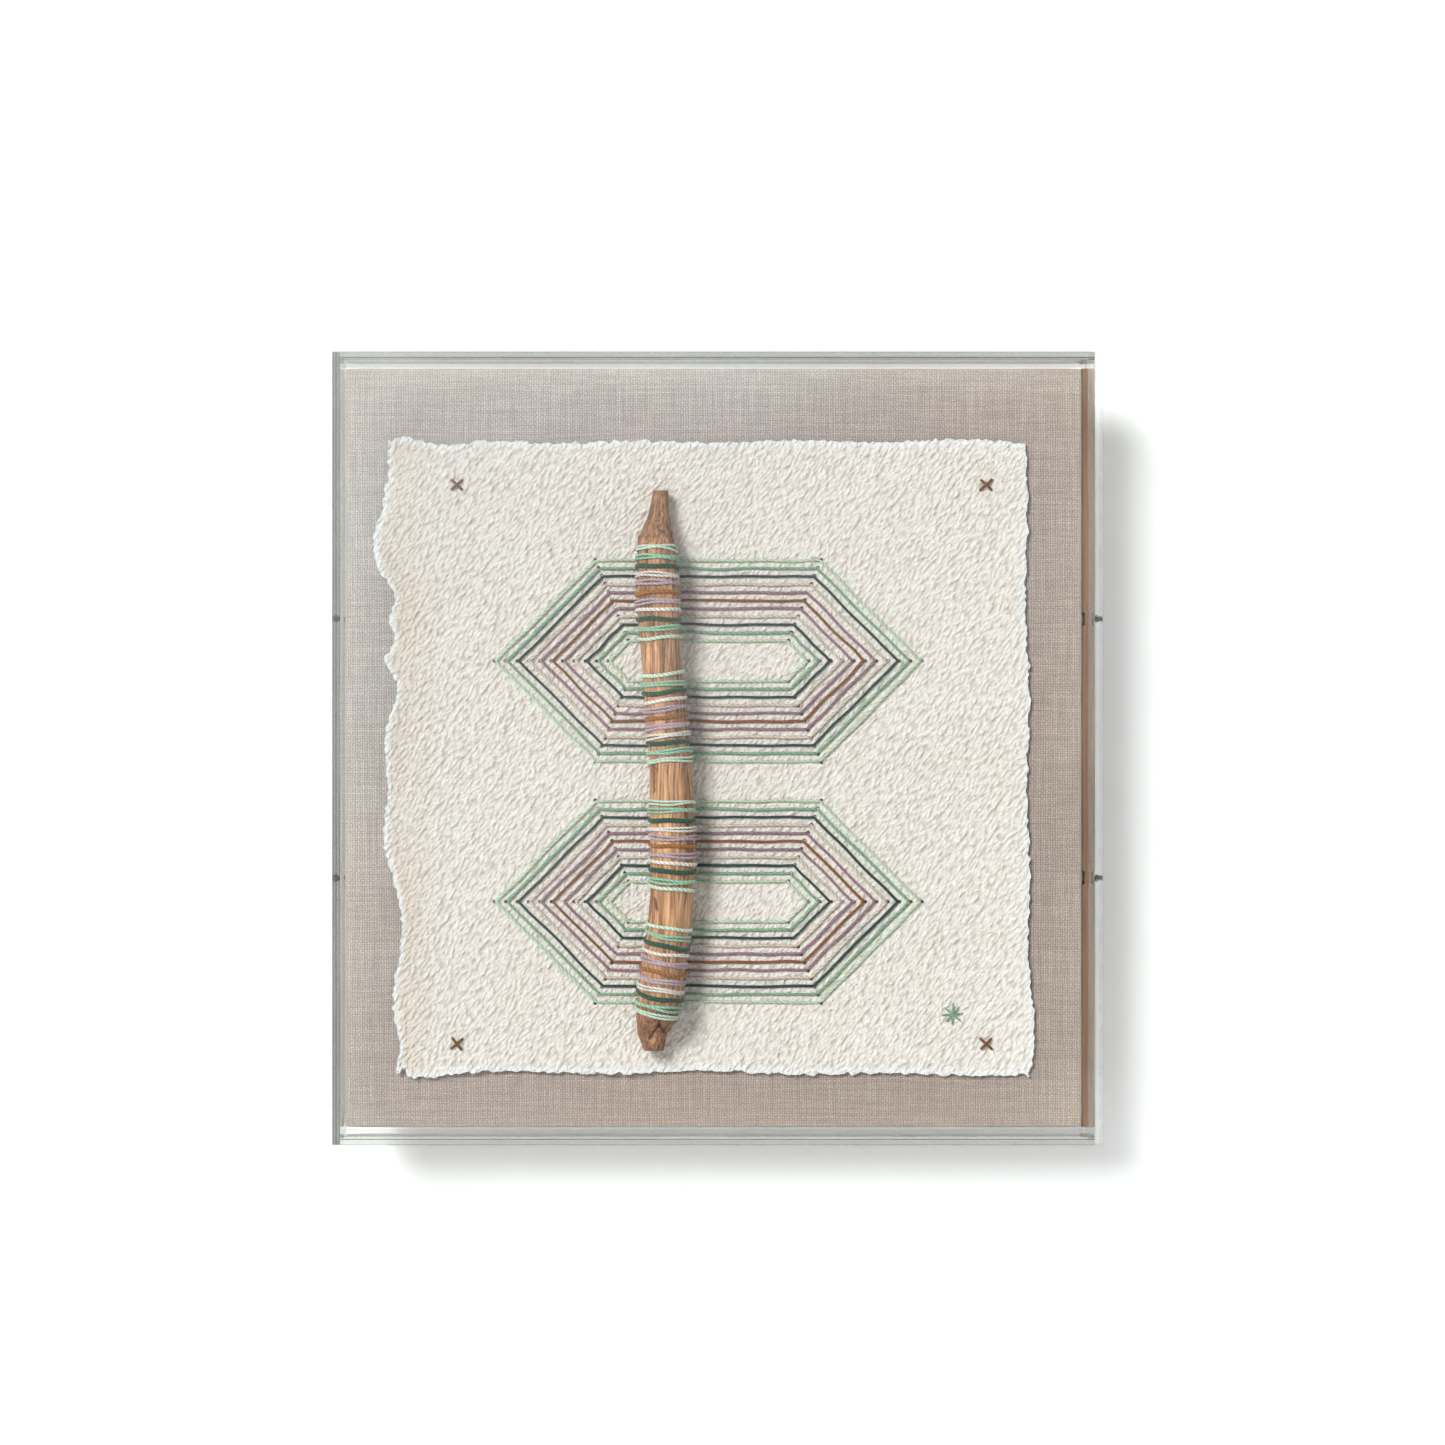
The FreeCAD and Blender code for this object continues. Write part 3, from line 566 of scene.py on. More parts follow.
def turned_outwards(points, faces):
    """The same faces, with their order reversed if they enclose a negative volume."""
    volume = 0.0
    for face in faces:
        corners = points[np.asarray(face)]
        for second in range(1, corners.shape[-2] - 1):
            triple = np.cross(corners[..., second, :], corners[..., second + 1, :])
            volume += float(np.sum(corners[..., 0, :] * triple))
    return [np.flip(np.asarray(face), axis=-1) for face in faces] if volume < 0 else faces


def make_piece(name, points, faces, material, replaced=(), closed=True, sharp=False):
    """Turn points and lists of faces into an object of the part, smooth, dressed and riding on its body."""
    if closed:
        faces = turned_outwards(points, faces)
    mesh = bpy.data.meshes.new(name)
    listed = [corner for group in faces for corner in np.atleast_2d(group).tolist()]
    mesh.from_pydata(points.tolist(), [], listed)
    mesh.polygons.foreach_set("use_smooth", [not sharp] * len(mesh.polygons))
    mesh.materials.append(material)
    mesh.update()
    piece = bpy.data.objects.new(name, mesh)
    bpy.context.scene.collection.objects.link(piece)
    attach(piece, "root")
    if replaced:
        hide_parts(*replaced)
    return piece


def give_numbers(piece, name, values, kind="FLOAT"):
    """Store one number or vector for each point of a piece, for its material to read."""
    attribute = piece.data.attributes.new(name, kind, "POINT")
    key = "value" if kind == "FLOAT" else "vector"
    attribute.data.foreach_set(key, np.asarray(values, dtype=np.float32).ravel())


def slow_noise(rng, size, waves, lowest, highest):
    """A random curve over 0 to 1: a sum of cosines whose height falls as their speed rises, within -1 to 1."""
    place = np.linspace(0.0, 1.0, size)
    speeds = rng.uniform(lowest, highest, waves)
    phases = rng.uniform(0, TURN, waves)
    heights = 1.0 / np.sqrt(speeds)
    curve = (heights[:, None] * np.cos(TURN * speeds[:, None] * place[None, :] + phases[:, None])).sum(axis=0)
    return curve / heights.sum()


def field_noise(rng, x, z, waves, shortest, longest, slant=0.0, spread=TURN / 4):
    """A random height over a plane: a sum of plane waves whose headings lie about a slant, with unit spread."""
    total = np.zeros_like(x)
    for _ in range(waves):
        length = math.exp(rng.uniform(math.log(shortest), math.log(longest)))
        heading = slant + rng.uniform(-spread, spread)
        phase = rng.uniform(0, TURN)
        total += np.cos(TURN * (x * math.cos(heading) + z * math.sin(heading)) / length + phase)
    return total / math.sqrt(waves / 2)


def tube_rings(path, flat_radius, out_radius, outwards, sides, closed):
    """A round or flattened profile carried along a path: each ring stands square to the path's heading.

    A ring's point is path + side * flat_radius * cos(t) + out * out_radius * sin(t).
    """
    if closed:
        heading = np.roll(path, -1, axis=0) - np.roll(path, 1, axis=0)
    else:
        heading = np.gradient(path, axis=0)
    heading /= np.linalg.norm(heading, axis=1, keepdims=True)
    side = np.cross(heading, outwards)
    side /= np.linalg.norm(side, axis=1, keepdims=True)
    out = np.cross(side, heading)
    angle = np.arange(sides) / sides * TURN
    across = side[:, None, :] * np.cos(angle)[None, :, None] * np.reshape(flat_radius, (-1, 1, 1))
    upright = out[:, None, :] * np.sin(angle)[None, :, None] * np.reshape(out_radius, (-1, 1, 1))
    return path[:, None, :] + across + upright


def bevelled_box(low, high, bevel):
    """A box with bevelled long edges: an eight-cornered outline in Y and Z, carried along X, with flat ends."""
    y_out, y_in = (low.y, high.y), (low.y + bevel, high.y - bevel)
    z_out, z_in = (low.z, high.z), (low.z + bevel, high.z - bevel)
    outline = np.array([
        (y_in[0], z_out[0]), (y_in[1], z_out[0]), (y_out[1], z_in[0]), (y_out[1], z_in[1]),
        (y_in[1], z_out[1]), (y_in[0], z_out[1]), (y_out[0], z_in[1]), (y_out[0], z_in[0]),
    ])
    ends = [np.column_stack([np.full(8, x), outline]) for x in (low.x, high.x)]
    quads = grid_quads(2, 8, close_columns=True)
    caps = np.stack([np.arange(8)[::-1], np.arange(8) + 8])
    return np.concatenate(ends), [quads, caps]


class ThreadMesh:
    """Gathers many tubes into one piece, with a map of length along and turn around."""

    def __init__(self, twist_pitch):
        self.twist_pitch = twist_pitch
        self.points = []
        self.quads = []
        self.caps = []
        self.maps = []
        self.count = 0

    def add(self, path, flat_radius, out_radius, outwards, sides=8, closed=False):
        """Add one tube; the map's first value grows by one for each twist along it."""
        points = tube_rings(path, flat_radius, out_radius, outwards, sides, closed).reshape(-1, 3)
        rows = len(path)
        quads = grid_quads(rows, sides, close_rows=closed, close_columns=True)
        order = 1 if turned_outwards(points, [quads])[0] is quads else -1
        steps = np.linalg.norm(np.diff(path, axis=0, append=path[:1]), axis=1)
        along = np.concatenate([[0.0], np.cumsum(steps)]) / self.twist_pitch
        if closed:
            along *= round(along[-1]) / along[-1]
        cells = rows if closed else rows - 1
        row, column = np.meshgrid(np.arange(cells), np.arange(sides), indexing="ij")
        corner_rows = np.stack([row, row, row + 1, row + 1], axis=-1)
        corner_columns = np.stack([column, column + 1, column + 1, column], axis=-1)
        corners = np.stack([along[corner_rows], corner_columns / sides], axis=-1).reshape(-1, 4, 2)
        self.maps.append(corners[:, ::order].reshape(-1, 2))
        if not closed:
            first = self.count + np.arange(sides)
            last = first + (rows - 1) * sides
            self.caps += [first[::order], last[::-order]]
        self.points.append(points)
        self.quads.append(self.count + quads[:, ::order])
        self.count += rows * sides

    def finish(self, name, material, replaced):
        """Make the piece and write its map."""
        faces = [np.concatenate(self.quads)]
        if self.caps:
            faces.append(np.array(self.caps))
        piece = make_piece(name, np.concatenate(self.points), faces, material, [replaced], closed=False)
        values = np.zeros((len(piece.data.loops), 2), dtype=np.float32)
        written = np.concatenate(self.maps)
        values[: len(written)] = written
        piece.data.uv_layers.new(name="thread").data.foreach_set("uv", values.ravel())


def stick_sections():
    """The CAD stick's sections: heights, middles, radii, and the plane of its back."""
    points = np.unique(np.round(cad_points("driftwood_stick"), 6), axis=0)
    points = points[np.argsort(points[:, 2])]
    breaks = np.flatnonzero(np.diff(points[:, 2]) > 0.2 * MM) + 1
    sections = [section for section in np.split(points, breaks) if len(section) >= POINTS_IN_SECTION]
    heights = np.array([section[:, 2].mean() for section in sections])
    left = np.array([section[:, 0].min() for section in sections])
    right = np.array([section[:, 0].max() for section in sections])
    return heights, (left + right) / 2, (right - left) / 2, points[:, 1].max()


STICK_HEIGHTS, STICK_MIDDLES, STICK_RADII, STICK_BACK = stick_sections()


def stick_middle(height):
    """Sideways place of the stick's middle at a height."""
    return np.interp(height, STICK_HEIGHTS, STICK_MIDDLES)


def stick_girth(height):
    """Radius of the stick at a height, before its surface is worn."""
    return np.interp(height, STICK_HEIGHTS, STICK_RADII)


def stick_wear(angle, height):
    """How much of the radius is left at an angle and height: broad flats and a slow waviness."""
    flats = 0.020 * (1 + np.cos(2 * angle + 0.8 + 18.0 * height))
    waves = 0.012 * (1 + np.cos(3 * angle - 31.0 * height)) + 0.006 * (1 + np.cos(5 * angle + 60.0 * height))
    return 1.0 - flats - waves


def distance_to_line(x, z, start, end):
    """Distance of each place from a straight stretch between two places."""
    run = np.subtract(end, start)
    share = ((x - start[0]) * run[0] + (z - start[1]) * run[1]) / float(run @ run)
    share = np.clip(share, 0.0, 1.0)
    return np.hypot(x - start[0] - share * run[0], z - start[1] - share * run[1])


def stick_surface(rows, columns):
    """The stick as a function of height and angle: middle + radius * (cos, sin), less wear, grain and cracks."""
    rng = np.random.default_rng(11)
    height = np.linspace(STICK_HEIGHTS[0], STICK_HEIGHTS[-1], rows)[:, None]
    angle = (np.arange(columns) / columns * TURN)[None, :]
    radius = stick_girth(height) * stick_wear(angle, height)
    grain = np.zeros((rows, columns))
    for cycles in (17, 29, 43, 61):
        phase = rng.uniform(0, TURN) + 1.6 * slow_noise(rng, rows, 6, 1.0, 7.0)[:, None]
        strength = 0.5 + slow_noise(rng, rows, 8, 1.0, 12.0)[:, None]
        grain += strength * np.cos(cycles * angle + phase) / math.sqrt(cycles)
    grain_depth = 0.22 * MM
    radius = radius + grain_depth * (grain - grain.max())
    x = stick_middle(height) + radius * np.cos(angle)
    z = np.broadcast_to(height, x.shape)
    facing = np.clip(-np.sin(angle) * 3, 0.0, 1.0)
    from_middle = np.abs(height - (STICK_HEIGHTS[0] + STICK_HEIGHTS[-1]) / 2)
    worn_from, worn_over, worn_tone = 90 * MM, 6 * MM, 0.52
    weathered_end = worn_tone * np.clip((from_middle - worn_from) / worn_over, 0.0, 1.0)
    marks = np.broadcast_to(weathered_end, x.shape)
    ragged = 1.0 + 0.5 * np.cos(37 * angle + 900 * height) * np.cos(23 * angle - 1400 * height)
    for start, end, width, depth, tone_here in STICK_MARKS:
        gap = distance_to_line(x, z, from_photo(*start), from_photo(*end))
        cut = np.exp(-((gap / (width * MM * ragged)) ** 2)) * facing
        radius = radius - depth * MM * cut
        marks = marks + (tone_here - marks) * cut
    knot, reach, length, lift = STICK_KNOT
    knot_height = from_photo(*knot)[1]
    around = np.abs(np.angle(np.exp(1j * (angle - TURN / 2 - 0.25))))
    bump = np.exp(-((around / reach) ** 2) - ((height - knot_height) / length) ** 2)
    radius = radius + lift * bump
    marks = np.maximum(marks, 0.8 * bump ** 2)
    middle_y = STICK_BACK - stick_girth(height)
    points = np.stack(
        [stick_middle(height) + radius * np.cos(angle), middle_y + radius * np.sin(angle), z], axis=-1
    )
    return points, marks


def strand_path(level, sag, tilt, wave, phase, lift, samples=72):
    """One closed turn round the stick, on its worn surface.

    Its height is level + tilt * cos(t) + sag * sin(t) + wave * sin(3t + phase), and it leans as the stick does.
    """
    angle = np.arange(samples) / samples * TURN
    girth = stick_girth(level)
    near_by = 4 * MM
    slope = (stick_middle(level + near_by) - stick_middle(level - near_by)) / (2 * near_by)
    height = level + (tilt - slope * girth) * np.cos(angle) + sag * np.sin(angle)
    height += wave * np.sin(3 * angle + phase)
    girth_here = stick_girth(height) * stick_wear(angle, height)
    middle_y = STICK_BACK - stick_girth(height)
    near = girth_here + lift
    x = stick_middle(height) + near * np.cos(angle)
    y = np.minimum(middle_y + near * np.sin(angle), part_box("upper_thread_01")[1].y - lift * 0.6)
    path = np.stack([x, y, height], axis=-1)
    outwards = np.stack([np.cos(angle), np.sin(angle), np.zeros(samples)], axis=-1)
    return path, outwards


def run_path(rng, start, end, plane, radius, samples_per_mm=1.1):
    """One straight stitch on the paper: it dives into its two needle holes and wanders a little between them."""
    length = math.dist(start, end)
    samples = max(12, int(length / MM * samples_per_mm))
    share = np.linspace(0.0, 1.0, samples)
    crowding, stray, calm, dive_length = 0.35, 0.42 * MM, 6 * MM, 0.9 * MM
    share = (1 - np.cos(share * math.pi)) / 2 * crowding + share * (1 - crowding)
    from_end = np.minimum(share, 1 - share) * length
    wander = slow_noise(rng, samples, 5, 1.0, max(2.0, length / (18 * MM))) * stray
    wander *= np.clip(from_end / calm, 0.0, 1.0)
    heading = np.subtract(end, start) / length
    x = start[0] + heading[0] * share * length - heading[1] * wander
    z = start[1] + heading[1] * share * length + heading[0] * wander
    dive = np.clip(1 - from_end / dive_length, 0.0, 1.0) ** 2
    y = plane - radius * 0.86 + dive * radius * 2.2
    outwards = np.tile([0.0, -1.0, 0.0], (samples, 1))
    return np.stack([x, y, z], axis=-1), outwards


def thread_node(medallion, number):
    """The CAD node of one thread."""
    return f"{medallion}_thread_{number:02d}"


def slot_of(node):
    """The record's material slot of a CAD node."""
    for part in frame["record"]["subparts"]:
        if part["node"] == node:
            return part["material_slot"]
    raise ValueError(f"{node} has no slot")


def lozenge_corners(node):
    """The six needle holes of a thread, from its CAD box: level top and bottom, pointed ends at 45 degrees."""
    low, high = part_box(node)
    half_turn_height = 1.0 * MM
    half_width_of_run = 0.6 * MM
    middle = ((low.x + high.x) / 2, (low.z + high.z) / 2)
    tall = (high.z - low.z) / 2 - half_turn_height
    wide = (high.x - low.x) / 2 - half_width_of_run * math.sqrt(2)
    level = wide - tall
    offsets = [(wide, 0), (level, tall), (-level, tall), (-wide, 0), (-level, -tall), (level, -tall)]
    return [(middle[0] + x, middle[1] + z) for x, z in offsets], middle[1], tall


def rounded_ring(half_width, half_height, corner, per_side):
    """Points round a rectangle with small round corners, the same number on each side, starting low left."""
    share = np.linspace(-1, 1, per_side, endpoint=False)
    sides = [
        np.stack([share * half_width, np.full(per_side, -half_height)], axis=-1),
        np.stack([np.full(per_side, half_width), share * half_height], axis=-1),
        np.stack([-share * half_width, np.full(per_side, half_height)], axis=-1),
        np.stack([np.full(per_side, -half_width), -share * half_height], axis=-1),
    ]
    points = np.concatenate(sides)
    inner = np.array([half_width - corner, half_height - corner])
    outside = np.clip(np.abs(points) - inner, 0, None)
    both = (outside > 0).all(axis=1)
    reach = np.linalg.norm(outside, axis=1, keepdims=True)
    pulled = np.sign(points) * (inner + outside / np.maximum(reach, 1e-9) * corner)
    return np.where(both[:, None], pulled, points)


class STITCHED_OT_linen(bpy.types.Operator):
    """Stretch the linen over the panel"""

    bl_idname = "stitched.linen"
    bl_label = "Linen"

    def execute(self, context):
        """Front plane, then rings that go over the edge, down the sides and in along the back as a hem."""
        low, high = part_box("linen_cover")
        half = np.array([(high.x - low.x) / 2, (high.z - low.z) / 2])
        middle = np.array([(high.x + low.x) / 2, (high.z + low.z) / 2])
        edge, hem, per_side, fill = 1.1 * MM, 12.0 * MM, 48, 44
        quarter = np.linspace(0, TURN / 4, 5)
        profile = [(edge * (math.sin(a) - 1), edge * (1 - math.cos(a)), edge * a) for a in quarter]
        depth = high.y - low.y
        profile.append((0.0, depth - edge, depth))
        profile += [
            (edge * (math.cos(a) - 1), depth - edge + edge * math.sin(a), depth + edge * a) for a in quarter[1:]
        ]
        profile.append((-hem, depth, depth + hem))
        rings, flats = [], []
        around = 4 * per_side
        for inset, back, cloth in profile:
            ring = rounded_ring(*(half + inset), 0.8 * MM, per_side)
            spread = ring * (1 + np.maximum(cloth, 0) / half.mean())
            depths = np.full(around, low.y + back)
            rings.append(np.stack([ring[:, 0] + middle[0], depths, ring[:, 1] + middle[1]], axis=-1))
            flats.append(np.column_stack([spread, np.zeros(around)]))
        shrink = np.linspace(1.0, 0.0, fill + 1)[1:-1]
        inner = [(rings[0] - [middle[0], 0, middle[1]]) * [s, 1, s] + [middle[0], 0, middle[1]] for s in shrink]
        inner_flats = [flats[0] * s for s in shrink]
        ordered = inner[::-1] + rings
        ordered_flats = inner_flats[::-1] + flats
        centre = np.array([[middle[0], low.y, middle[1]]])
        points = np.concatenate([centre, *ordered])
        quads = grid_quads(len(ordered), around, close_columns=True, start=1)
        first = 1 + np.arange(around)
        fan = np.stack([np.zeros(around, dtype=int), np.roll(first, -1), first], axis=-1)
        faces = [np.flip(quads, axis=-1), np.flip(fan, axis=-1)]
        piece = make_piece("linen_cloth", points, faces, linen_material(), ["linen_cover"], closed=False)
        give_numbers(piece, "flat", np.concatenate([[[0, 0, 0]], *ordered_flats]), "FLOAT_VECTOR")
        solid = piece.modifiers.new("cloth_thickness", "SOLIDIFY")
        solid.thickness = 0.45 * MM
        solid.offset = -1.0
        return {"FINISHED"}


def torn_offsets(points, half_width, half_height, middle):
    """How far the CAD paper's outline stands out from its plain rectangle, along each side."""
    x, z = points[:, 0] - middle[0], points[:, 2] - middle[1]
    sides = {}
    for name, along, out, half, reach in (
        ("left", z, -x, half_height, half_width),
        ("right", z, x, half_height, half_width),
        ("top", x, z, half_width, half_height),
        ("bottom", x, -z, half_width, half_height),
    ):
        near = (out > reach - 7 * MM) & (np.abs(along) < half * 0.995)
        order = np.argsort(along[near])
        sides[name] = (along[near][order] / half, out[near][order] - reach)
    return sides


def paper_front(rng, steps):
    """The paper's front over two numbers from -1 to 1: the rectangle, pulled out to the torn outline."""
    low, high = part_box("handmade_paper")
    riser_low, riser_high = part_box("paper_riser")
    inset, fray, pull, crowding, samples = 16.0 * MM, 0.34 * MM, 7.0, 1.15, 400
    middle = ((riser_low.x + riser_high.x) / 2, (riser_low.z + riser_high.z) / 2)
    half_width = (riser_high.x - riser_low.x) / 2 + inset
    half_height = (riser_high.z - riser_low.z) / 2 + inset
    share = np.linspace(-1, 1, steps)
    share = np.sign(share) * (1 - (1 - np.abs(share)) ** crowding)
    u, v = np.meshgrid(share, share, indexing="ij")
    sides = torn_offsets(cad_points("handmade_paper"), half_width, half_height, middle)

    def outline(name, along):
        """The CAD outline's offset at a place along one side, with a fine fray."""
        places, offsets = sides[name]
        ragged = slow_noise(rng, samples, 60, 14.0, 110.0)
        ragged *= fray / ragged.std()
        return np.interp(along, places, offsets) + np.interp(along, np.linspace(-1, 1, samples), ragged)

    left = outline("left", v) * np.clip(-u, 0, 1) ** pull
    right = outline("right", v) * np.clip(u, 0, 1) ** pull
    top = outline("top", u) * np.clip(v, 0, 1) ** pull
    bottom = outline("bottom", u) * np.clip(-v, 0, 1) ** pull
    x = middle[0] + u * half_width + right - left
    z = middle[1] + v * half_height + top - bottom
    from_rim = np.minimum((1 - np.abs(u)) * half_width, (1 - np.abs(v)) * half_height)
    return x, z, from_rim, u, low.y, high.y


class STITCHED_OT_paper(bpy.types.Operator):
    """Lay the handmade paper and its needle holes"""

    bl_idname = "stitched.paper"
    bl_label = "Handmade paper"

    def execute(self, context):
        """Front height = hollows of many plane waves, thinned towards the torn rim; the back is flat."""
        rng = np.random.default_rng(5)
        steps = 304
        x, z, from_rim, u, front, back = paper_front(rng, steps)
        slant = -math.radians(40)
        long_waves = field_noise(rng, x, z, 26, 5 * MM, 14 * MM)
        short_waves = field_noise(rng, x, z, 70, 2.4 * MM, 4.5 * MM, slant, 1.15)
        hollow = np.clip(0.5 + 0.14 * long_waves + 0.17 * short_waves, 0, 1) * sizes().pulp_depth
        torn = np.clip(1 - from_rim / sizes().torn_width, 0, 1)
        torn_depth, curl_height, curl_width, thinnest = 0.38 * MM, 0.9 * MM, 9 * MM, 0.15 * MM
        curl = curl_height * np.clip(1 - from_rim / curl_width, 0, 1) ** 2
        wave = 0.5 + 0.5 * field_noise(rng, x, z, 9, 25 * MM, 60 * MM)
        y = front + hollow + torn ** 2 * torn_depth - curl * np.clip(wave, 0, 1.4) * (u < 0.2)
        y = np.minimum(y, back - thinnest)
        points = np.stack([x, y, z], axis=-1).reshape(-1, 3)
        quads = grid_quads(steps, steps)
        index = np.arange(steps * steps).reshape(steps, steps)
        loop = np.concatenate([index[:-1, 0], index[-1, :-1], index[:0:-1, -1], index[0, :0:-1]])
        rim_points = points[loop]
        lower = rim_points.copy()
        rim_depth, rear_share = 0.3 * MM, 0.992
        lower[:, 1] = np.minimum(rim_points[:, 1] + rim_depth, back)
        middle = rim_points.mean(axis=0)
        rear = middle + (rim_points - middle) * rear_share
        rear[:, 1] = back
        count = len(loop)
        front_ring = len(points) + np.arange(count)
        rear_ring = front_ring + count
        bands = [
            np.stack([outer, inner, np.roll(inner, -1), np.roll(outer, -1)], axis=-1)
            for outer, inner in ((loop, front_ring), (front_ring, rear_ring))
        ]
        piece = make_piece(
            "handmade_sheet", np.concatenate([points, lower, rear]), [quads, *bands, rear_ring[None, :]],
            paper_material(), ["handmade_paper"],
        )
        rim_width, stain_reach, stain_start = 2.0 * MM, 0.16, 3 * MM
        rim = np.clip(1.5 - from_rim / rim_width, 0, 1).ravel()
        stain = (np.clip(1 - (u + 1) / stain_reach, 0, 1) * np.clip(from_rim / stain_start, 0, 1)).ravel()
        give_numbers(piece, "rim", np.concatenate([rim, np.ones(count), np.zeros(count)]))
        give_numbers(piece, "stain", np.concatenate([stain, np.zeros(2 * count)]))
        self.make_holes(front)
        return {"FINISHED"}

    def make_holes(self, front):
        """A small pit at each corner of each thread, its inside painted dark as painted shade: a ring at the
        paper's face and a point behind it.
        """
        sides, radius, depth = 8, 0.72 * MM, 0.45 * MM
        middles = []
        for medallion in MEDALLIONS:
            for number in range(1, THREADS_IN_MEDALLION + 1):
                corners = np.array(lozenge_corners(thread_node(medallion, number))[0])
                outwards = corners - corners.mean(axis=0)
                outwards /= np.linalg.norm(outwards, axis=1, keepdims=True)
                middles.append(corners + outwards * 0.6 * MM)
        middles = np.concatenate(middles)
        angle = np.arange(sides) / sides * TURN
        ring_x = middles[:, :1] + radius * np.cos(angle)
        ring_z = middles[:, 1:] + radius * np.sin(angle)
        ring = np.stack([ring_x, np.full_like(ring_x, front - 0.02 * MM), ring_z], axis=-1)
        rear = ring + np.array([0.0, depth, 0.0])
        pit = np.stack([middles[:, 0], np.full(len(middles), front + 0.5 * depth), middles[:, 1]], axis=-1)
        points = np.concatenate([ring, rear, pit[:, None, :]], axis=1)
        each = points.shape[1]
        column = np.arange(sides)
        following = (column + 1) % sides
        cone = np.stack([column, following, np.full(sides, 2 * sides)], axis=-1)
        wall = np.stack([column, column + sides, following + sides, following], axis=-1)
        back = column[None, ::-1] + sides
        shift = np.arange(len(middles))[:, None, None] * each
        faces = [(one + shift).reshape(-1, one.shape[-1]) for one in (cone, wall, back)]
        make_piece("needle_holes", points.reshape(-1, 3), faces, painted_shade_pit_material(), sharp=True)


class STITCHED_OT_stick(bpy.types.Operator):
    """Shape the driftwood stick"""

    bl_idname = "stitched.stick"
    bl_label = "Driftwood stick"

    def execute(self, context):
        """The surface of height and angle, with its two ends closed by rounded caps."""
        rows, columns, roughness = 420, 200, 0.10 * MM
        cap_rings = ((0.9, -0.15 * MM), (0.6, -0.05 * MM), (0.3, 0.1 * MM))
        added = len(cap_rings)
        surface, marks = stick_surface(rows, columns)
        caps = []
        for rim, direction in ((surface[0], -1), (surface[-1], 1)):
            middle = rim.mean(axis=0)
            caps.append(np.array([
                middle + (rim - middle) * share + [0, 0, direction * lift] for share, lift in cap_rings
            ]))
        stacked = np.concatenate([caps[0][::-1], surface, caps[1]])
        rough = np.random.default_rng(3).normal(0, roughness, stacked.shape[:2])
        stacked[:added, :, 2] += rough[:added]
        stacked[-added:, :, 2] += rough[-added:]
        total = len(stacked)
        quads = grid_quads(total, columns, close_columns=True)
        first = np.arange(columns)[None, ::-1]
        last = ((total - 1) * columns + np.arange(columns))[None, :]
        piece = make_piece(
            "driftwood", stacked.reshape(-1, 3), [quads, first, last], driftwood_material(),
            ["driftwood_stick"],
        )
        end_tone = 0.15
        padded_marks = np.pad(marks, ((added, added), (0, 0)), constant_values=end_tone)
        give_numbers(piece, "marks", padded_marks.ravel())
        return {"FINISHED"}


class STITCHED_OT_threads(bpy.types.Operator):
    """Stitch the threads on the paper and wind them round the stick"""

    bl_idname = "stitched.threads"
    bl_label = "Threads"

    def execute(self, context):
        """For each thread: six stitches between its needle holes, and its two turns of a few strands."""
        flat_materials = {slot: thread_material(slot + "_flat", tint) for slot, tint in THREAD_COLOURS.items()}
        turn_materials = {slot: thread_material(slot + "_turn", tint) for slot, tint in TURN_COLOURS_PAINTED_LIGHTER.items()}
        for medallion in MEDALLIONS:
            for number in range(1, THREADS_IN_MEDALLION + 1):
                node = thread_node(medallion, number)
                slot = slot_of(node)
                self.stitch(node, number, slot, flat_materials[slot])
                self.wind(node, medallion, number, slot, turn_materials[slot])
        return {"FINISHED"}

    def stitch(self, node, number, slot, material):
        """The runs on the paper, between neighbouring needle holes."""
        rng = np.random.default_rng(100 + number + 50 * node.startswith("lower"))
        radius = sizes().thread_radius
        corners, _, _ = lozenge_corners(node)
        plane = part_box(node)[1].y
        mesh = ThreadMesh(2.4 * MM)
        for start, end in zip(corners, corners[1:] + corners[:1]):
            path, outwards = run_path(rng, start, end, plane, radius)
            mesh.add(path, radius * rng.uniform(0.92, 1.08), radius * 0.86, outwards)
        mesh.finish(node + "_stitches", material, node)

    def wind(self, node, medallion, number, slot, material):
        """The two turns round the stick, each of a few strands side by side."""
        rng = np.random.default_rng(400 + number + 50 * node.startswith("lower"))
        radius = sizes().wrap_radius
        _, middle, tall = lozenge_corners(node)
        mesh = ThreadMesh(2.0 * MM)
        outermost = lozenge_corners(thread_node(medallion, 1))[2]
        innermost = lozenge_corners(thread_node(medallion, THREADS_IN_MEDALLION))[2]
        centre, spread = (outermost + innermost) / 2, 1.07
        strands, thickness = TURN_STRANDS[number - 1]
        for side in (1, -1):
            shift, top_sag, bottom_sag, lean = (value * MM for value in TURN_GROUPS[(medallion, side)])
            level = middle + side * (centre + (tall - centre) * spread) + shift + rng.uniform(-0.3, 0.3) * MM
            place = 0.5 - 0.5 * side * (tall - centre) / (outermost - centre)
            sag = top_sag + (bottom_sag - top_sag) * place + rng.uniform(-0.2, 0.2) * MM
            for strand in range(strands):
                offset = (strand - (strands - 1) / 2) * 2.1 * radius
                tilt = -lean + rng.uniform(-0.4, 0.4) * MM
                wave = rng.uniform(0.1, 0.32) * MM
                path, outwards = strand_path(level + offset, sag, tilt, wave, rng.uniform(0, TURN), radius * 0.8)
                width = radius * thickness * rng.uniform(0.92, 1.08)
                mesh.add(path, width, min(width, radius * 1.2) * 0.9, outwards, sides=8, closed=True)
        mesh.finish(node + "_turns", material, node)


